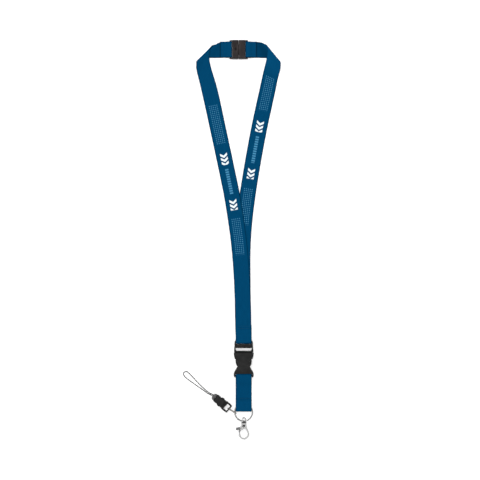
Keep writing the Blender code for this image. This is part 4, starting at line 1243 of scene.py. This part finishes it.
def make_hook(metal):
    """C shaped casting with the swivel's barrel, its window and the gate's recess."""
    window = moved(rounded(-2.0, 2.0, -235.6, -232.2, 0.6, 4), HOOK_X)

    def barrel(bm):
        on_hook_axis(-229.95, -230.5, 3.05, 36)(bm)
        on_hook_axis(-230.4, -232.4, 2.75, 36)(bm)

    steps = [(JOIN, barrel), (CUT, on_hook_axis(-228.0, -233.0, 1.3, 24)), (CUT, plate(window, *THROUGH)),
             (CUT, brick(HOOK_X - 9.0, HOOK_X - 1.9, -240.5, -234.2, HOOK_Z - 1.1, HOOK_Z + 1.1)),
             pivot_hole()]
    solid("hook_casting", "hook_body", "bright_metal", metal,
          plate(hook_outline(), HOOK_Z - HOOK_T / 2, HOOK_Z + HOOK_T / 2), steps, 0.4, 3, 50)


def make_gate(steel):
    """Sprung gate with its ribbed thumb lever, pin and spring."""
    px, py = PIVOT
    outline = [(-4.4, -235.2), (-9.2, -236.0), (-9.9, -236.4), (-9.9, -238.3), (-9.2, -238.7), (-5.5, -238.6),
               (-6.1, -240.0), (-6.5, -241.6), (-6.4, -242.3), (-5.2, -242.3), (-4.5, -240.4), (-3.4, -238.2),
               (-2.9, -236.6), (-3.4, -235.5)]
    pad = plate(moved(rounded(-9.9, -6.0, -238.7, -236.1, 0.5, 4), HOOK_X), HOOK_Z - 1.4, HOOK_Z + 1.2)

    def ribs(bm):
        for index in range(4):
            x = HOOK_X - 9.2 + index * 0.85
            for z in (HOOK_Z - 1.55, HOOK_Z + 1.35):
                block(bm, x - 0.18, x + 0.18, -239.5, -235.5, z - 0.35, z + 0.35)

    solid("hook_gate_lever", "hook_gate", "bright_metal", steel,
          plate(moved(outline, HOOK_X), HOOK_Z - 0.8, HOOK_Z + 0.2), [(JOIN, pad), (CUT, ribs), pivot_hole()],
          0.14, 2, 50)
    reach = HOOK_T / 2 - 0.1
    bm = bmesh.new()
    cylinder(bm, (px, py, HOOK_Z - reach), (px, py, HOOK_Z + reach), 0.55, 24)
    for side in (-1, 1):
        cylinder(bm, (px, py, HOOK_Z + side * reach), (px, py, HOOK_Z + side * (reach + 0.22)), 0.82, 24, 0.5)
    settle(object_from("gate_rivet", bm, steel), body_of("gate_pin"), "bright_metal", "gate_pin")
    coil = []
    coil_r, steps_a_turn = 0.86, 28
    for i in range(51):
        a = 2 * math.pi * i / steps_a_turn
        height = HOOK_Z + 0.45 + 0.2 * i / steps_a_turn
        coil.append((px + coil_r * math.cos(a), py + coil_r * math.sin(a), height))
    bm = bmesh.new()
    tube(bm, coil, 0.1, 8)
    settle(object_from("gate_coil", bm, steel), body_of("gate_spring"), "bright_metal", "gate_spring")


def make_link(metal):
    """Thin stadium shaped wire link between the split ring and the small buckle."""
    r = LINK_SIZE[1] / 2 - LINK_WIRE
    half = LINK_SIZE[0] / 2 - LINK_WIRE - r
    points = []
    for cx, start in ((half, -90), (-half, 90)):
        for i in range(25):
            a = math.radians(start + 7.5 * i)
            points.append(Vector((cx + r * math.cos(a), r * math.sin(a), 0)))
    ahead, height = LINK_CENTRE
    place = (Matrix.Translation((MINI_BAR[0], MINI_BAR[1], height)) @ Matrix.Rotation(LINK_HEADING, 4, "Z")
             @ Matrix.Translation((ahead, 0, 0)) @ Matrix.Rotation(LINK_TILT, 4, "X"))
    bm = bmesh.new()
    tube(bm, points, LINK_WIRE, 12, closed=True)
    bmesh.ops.transform(bm, matrix=place, verts=bm.verts)
    settle(object_from("link_wire", bm, metal), body_of("link_ring"), "wire", "link_ring")


def make_mini_top(plastic, place):
    """Upper half of the small buckle, drawn about its bar with +Y towards the cord."""
    half = side_curve([(4.9, -0.9), (5.6, 0.2), (5.9, MINI_BASE), (5.9, MINI_MOUTH - GAP)])

    def guide(bm):
        block(bm, -1.0, 1.0, MINI_MOUTH - 1.0, 17.0, MINI_Z - 0.9, MINI_Z + 0.9)
        for side in (-1, 1):
            block(bm, *sorted((side * 2.6, side * 3.9)), MINI_MOUTH - 1.0, 9.2, MINI_Z - 0.9, MINI_Z + 0.9)

    low, high = MINI_Z0 + 0.5, MINI_Z1 - 0.5
    steps = [(CUT, plate(rounded(-4.0, 4.0, -3.0, 5.6, 0.8, 3), *THROUGH)),
             (JOIN, rod((-4.4, 0, MINI_Z), (4.4, 0, MINI_Z), 0.9, 24)), (JOIN, guide)]
    base = stack(mirrored(half), [(0.4, low), (0.0, low + 0.4), (0.0, high - 0.5), (0.5, high)])
    solid("small_buckle_top", "mini_male", "buckle_plastic", plastic, base, steps, 0.14, 2, place=place)


def make_mini_arm(name, node, side, plastic, place):
    """Prong of the small buckle with three ribs on its pad."""
    outline = [(2.65, 9.5), (3.85, 9.5), (3.9, 10.8), (4.1, 11.2), (5.2, 11.25), (6.0, 12.0), (6.1, 13.4),
               (5.6, 15.2), (4.6, 16.6), (3.6, 16.8), (2.8, 15.8), (2.7, 12.0)]

    def ribs(bm):
        for index in range(3):
            x, y = side * (6.0 - 0.12 * index), 12.4 + index
            cylinder(bm, (x, y, MINI_Z - 0.9), (x, y, MINI_Z + 0.9), 0.22, 10)

    base = plate([(side * x, y) for x, y in outline], MINI_Z - 1.2, MINI_Z + 1.2)
    solid(name, node, "buckle_plastic", plastic, base, [(JOIN, ribs)], 0.2, 2, 40, place)


def make_mini_shell(plastic, place):
    """Lower half of the small buckle: a hollow shell with a raised panel."""
    half = side_curve([(5.0, MINI_MOUTH), (5.4, MINI_MOUTH + 0.5), (5.4, 10.2), (5.2, 10.8), (4.0, 13.0),
                       (4.0, 15.2), (4.6, 17.0), (5.0, 18.4), (5.0, 20.6), (4.6, MINI_END)], 3)
    panel = side_curve([(3.4, 9.6), (3.0, 12.5), (2.7, 14.5), (3.2, 17.5), (3.6, 20.4)], 3)
    raised = stack(mirrored(panel), [(0.0, MINI_Z1 - 0.4), (0.0, MINI_Z1), (0.2, MINI_Z1 + 0.15)])
    steps = [(JOIN, raised)]
    for wide, start, end in ((4.4, MINI_MOUTH - 1, 11.6), (7.0, 10.7, 17.2)):
        steps.append((CUT, brick(-wide, wide, start, end, MINI_Z - 1.5, MINI_Z + 1.5)))
    levels = [(0.6, MINI_Z0), (0.0, MINI_Z0 + 0.7), (0.0, MINI_Z1 - 0.8), (0.8, MINI_Z1)]
    base = stack(mirrored(half), levels)
    solid("small_buckle_shell", "mini_female", "buckle_plastic", plastic, base, steps, 0.14, 2, 40, place)


def make_cord_end(cap_plastic, metal, place):
    """Grooved cap on the cord's two ends and the crimp that holds them in it."""
    half = side_curve([(4.3, MINI_END + GAP), (4.25, 23.2), (4.0, 24.2), (3.1, CAP_END)], 3)

    def rings(bm):
        for y in (23.2, 24.0):
            block(bm, -5, 5, y - 0.16, y + 0.16, MINI_Z1 - 0.75, MINI_Z1 + 1)

    low, high = MINI_Z0 + 0.4, MINI_Z1 - 0.4
    bore = plate(rounded(-1.75, 1.75, 23.0, 27.0, 0.2, 2), MINI_Z - 1.0, MINI_Z + 1.0)
    base = stack(mirrored(half), [(0.5, low), (0.0, low + 0.6), (0.0, high - 0.6), (0.6, high)])
    cap = solid("cord_end_cap", "cord_cap", "cap_plastic", cap_plastic, base, [(CUT, bore), (CUT, rings)],
                0.14, 2, 40, place)
    sleeve = plate(rounded(-1.4, 1.4, 23.3, 24.1, 0.3, 3), MINI_Z - 0.7, MINI_Z + 0.7)
    crimp = solid("cord_crimp", "cord_ferrule", "bright_metal", metal, sleeve, [], 0.12, 2, place=place)
    return cap, crimp


def make_mini(plastic, cap_plastic, metal):
    """The small buckle, and the cap and crimp on the cord's ends, which are returned."""
    place = mini_place()
    make_mini_top(plastic, place)
    for side, end in ((-1, "left"), (1, "right")):
        make_mini_arm(f"small_arm_{end}", f"mini_arm_{end}", side, plastic, place)
    make_mini_shell(plastic, place)
    return make_cord_end(cap_plastic, metal, place)


# ---------------------------------------------------------------- stitching

def stitched_rows(name, node, thread, rows, height, count=13):
    """Rows of sewn thread. Each row is (start, end) in x and y, lying on the ribbon at one height."""
    bm = bmesh.new()
    for start, end in rows:
        start, end = Vector(start), Vector(end)
        for index in range(count):
            a = start.lerp(end, (index + 0.14) / count)
            b = start.lerp(end, (index + 0.86) / count)
            points = []
            for step in range(7):
                f = step / 6
                p = a.lerp(b, f)
                points.append((p.x, p.y, height - 0.16 + 0.3 * math.sin(math.pi * f)))
            tube(bm, points, 0.19, 8)
    return settle(object_from(name, bm, thread), body_of(node), "ribbon")


def make_stitching(thread):
    """Rows of thread on the tails, the seam and the drop strap, by the node that they ride with."""
    low, high = NECK_Y - 8.6, NECK_Y + 8.6
    tail_top = Z2 + RIBBON_T / 2
    left = stitched_rows("stitching_left", "left_strap", thread,
                         [((-14.6, low), (-14.6, high)), ((-19.6, low), (-19.6, high))], tail_top)
    right = stitched_rows("stitching_right", "right_strap", thread,
                          [((15.4, low), (15.4, high)), ((21.5, low), (21.5, high))], tail_top)
    x0, x1 = DROP_X - 8.6, DROP_X + 8.2
    seam = stitched_rows("stitching_seam", "left_strap", thread,
                         [((x0, SEAM_Y + 1.4), (x1, SEAM_Y + 1.4)), ((x0, SEAM_Y - 1.4), (x1, SEAM_Y - 1.4))],
                         Z3 + RIBBON_T / 2)
    drop = stitched_rows("stitching_drop", "drop_strap", thread,
                         [((x0, STITCH_Y + 2.0), (x1, STITCH_Y + 2.0))], Z2 + 0.07 + RIBBON_T / 2)
    return {"left_strap": [left, seam], "right_strap": [right], "drop_strap": [drop]}


# ---------------------------------------------------------------- everything

make_camera()
make_stage()
yarn = twisted_yarn("cord_yarn", (0.013, 0.013, 0.014), (0.050, 0.050, 0.050))
cord_piece, cord_path, cord_length = make_cord(yarn)

thread = sewing_thread("teal_thread", (0.0005, 0.022, 0.055))
black = moulded("buckle_black", (0.0105, 0.0105, 0.0105), (0.017, 0.017, 0.017), 0.38, 0.16)
brown_black = moulded("clasp_black", (0.0150, 0.0128, 0.0132), (0.026, 0.021, 0.021), 0.46, 0.14)
grey_cap = moulded("cap_grey", (0.075, 0.075, 0.075), (0.12, 0.12, 0.12), 0.5, 0.2)
# the last number of nickel and ring_steel is the share of painted shade on their flanks
nickel = plated("nickel", (0.92, 0.92, 0.91), (0.74, 0.74, 0.735), 0.22, 0.75)
# dark stem steel, partly painted shade: it darkens the hook's window and the gap under the eye
shaded_stem_steel = plated("stem_steel", (0.13, 0.13, 0.13), (0.08, 0.08, 0.08), 0.3)
ring_steel = plated("ring_steel", (0.52, 0.52, 0.51), (0.38, 0.38, 0.375), 0.24, 0.8)
steel = plated("gate_steel", (0.30, 0.30, 0.30), (0.20, 0.20, 0.20), 0.30)
wire = plated("link_steel", (0.40, 0.375, 0.34), (0.28, 0.26, 0.235), 0.3)

ribbons = make_ribbons()
stitching = make_stitching(thread)
make_clasp_half("clasp_socket", "breakaway_socket", -1, brown_black)
make_clasp_half("clasp_plug", "breakaway_plug", 1, brown_black)
make_buckle_top(black)
make_buckle_arm("buckle_prong_left", "buckle_arm_left", -1, black)
make_buckle_arm("buckle_prong_right", "buckle_arm_right", 1, black)
make_buckle_bottom(black)
make_ring(ring_steel)
make_eye(nickel, shaded_stem_steel)
make_hook(nickel)
make_gate(steel)
make_link(wire)
cap, crimp = make_mini(black, grey_cap, nickel)

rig.cord(cord_piece, exit=cord_path[0], length=cord_length, diameter=2 * CORD_R * MM, far_end="object",
        stiffness="limp", lay="loose", path=cord_path, with_pieces=[cap, crimp])
for node, piece, strip, rests in ribbons:
    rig.sheet(piece, flat=(2 * HALF * MM, strip.length * MM), held="folded", rests_on=rests,
             with_pieces=stitching[node])

sizes = {"cad": cad_bounds, "visual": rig.bounds()}
with open("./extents.json", "w") as out:
    json.dump({key: [[float(x) for x in corner] for corner in value] for key, value in sizes.items()}, out)
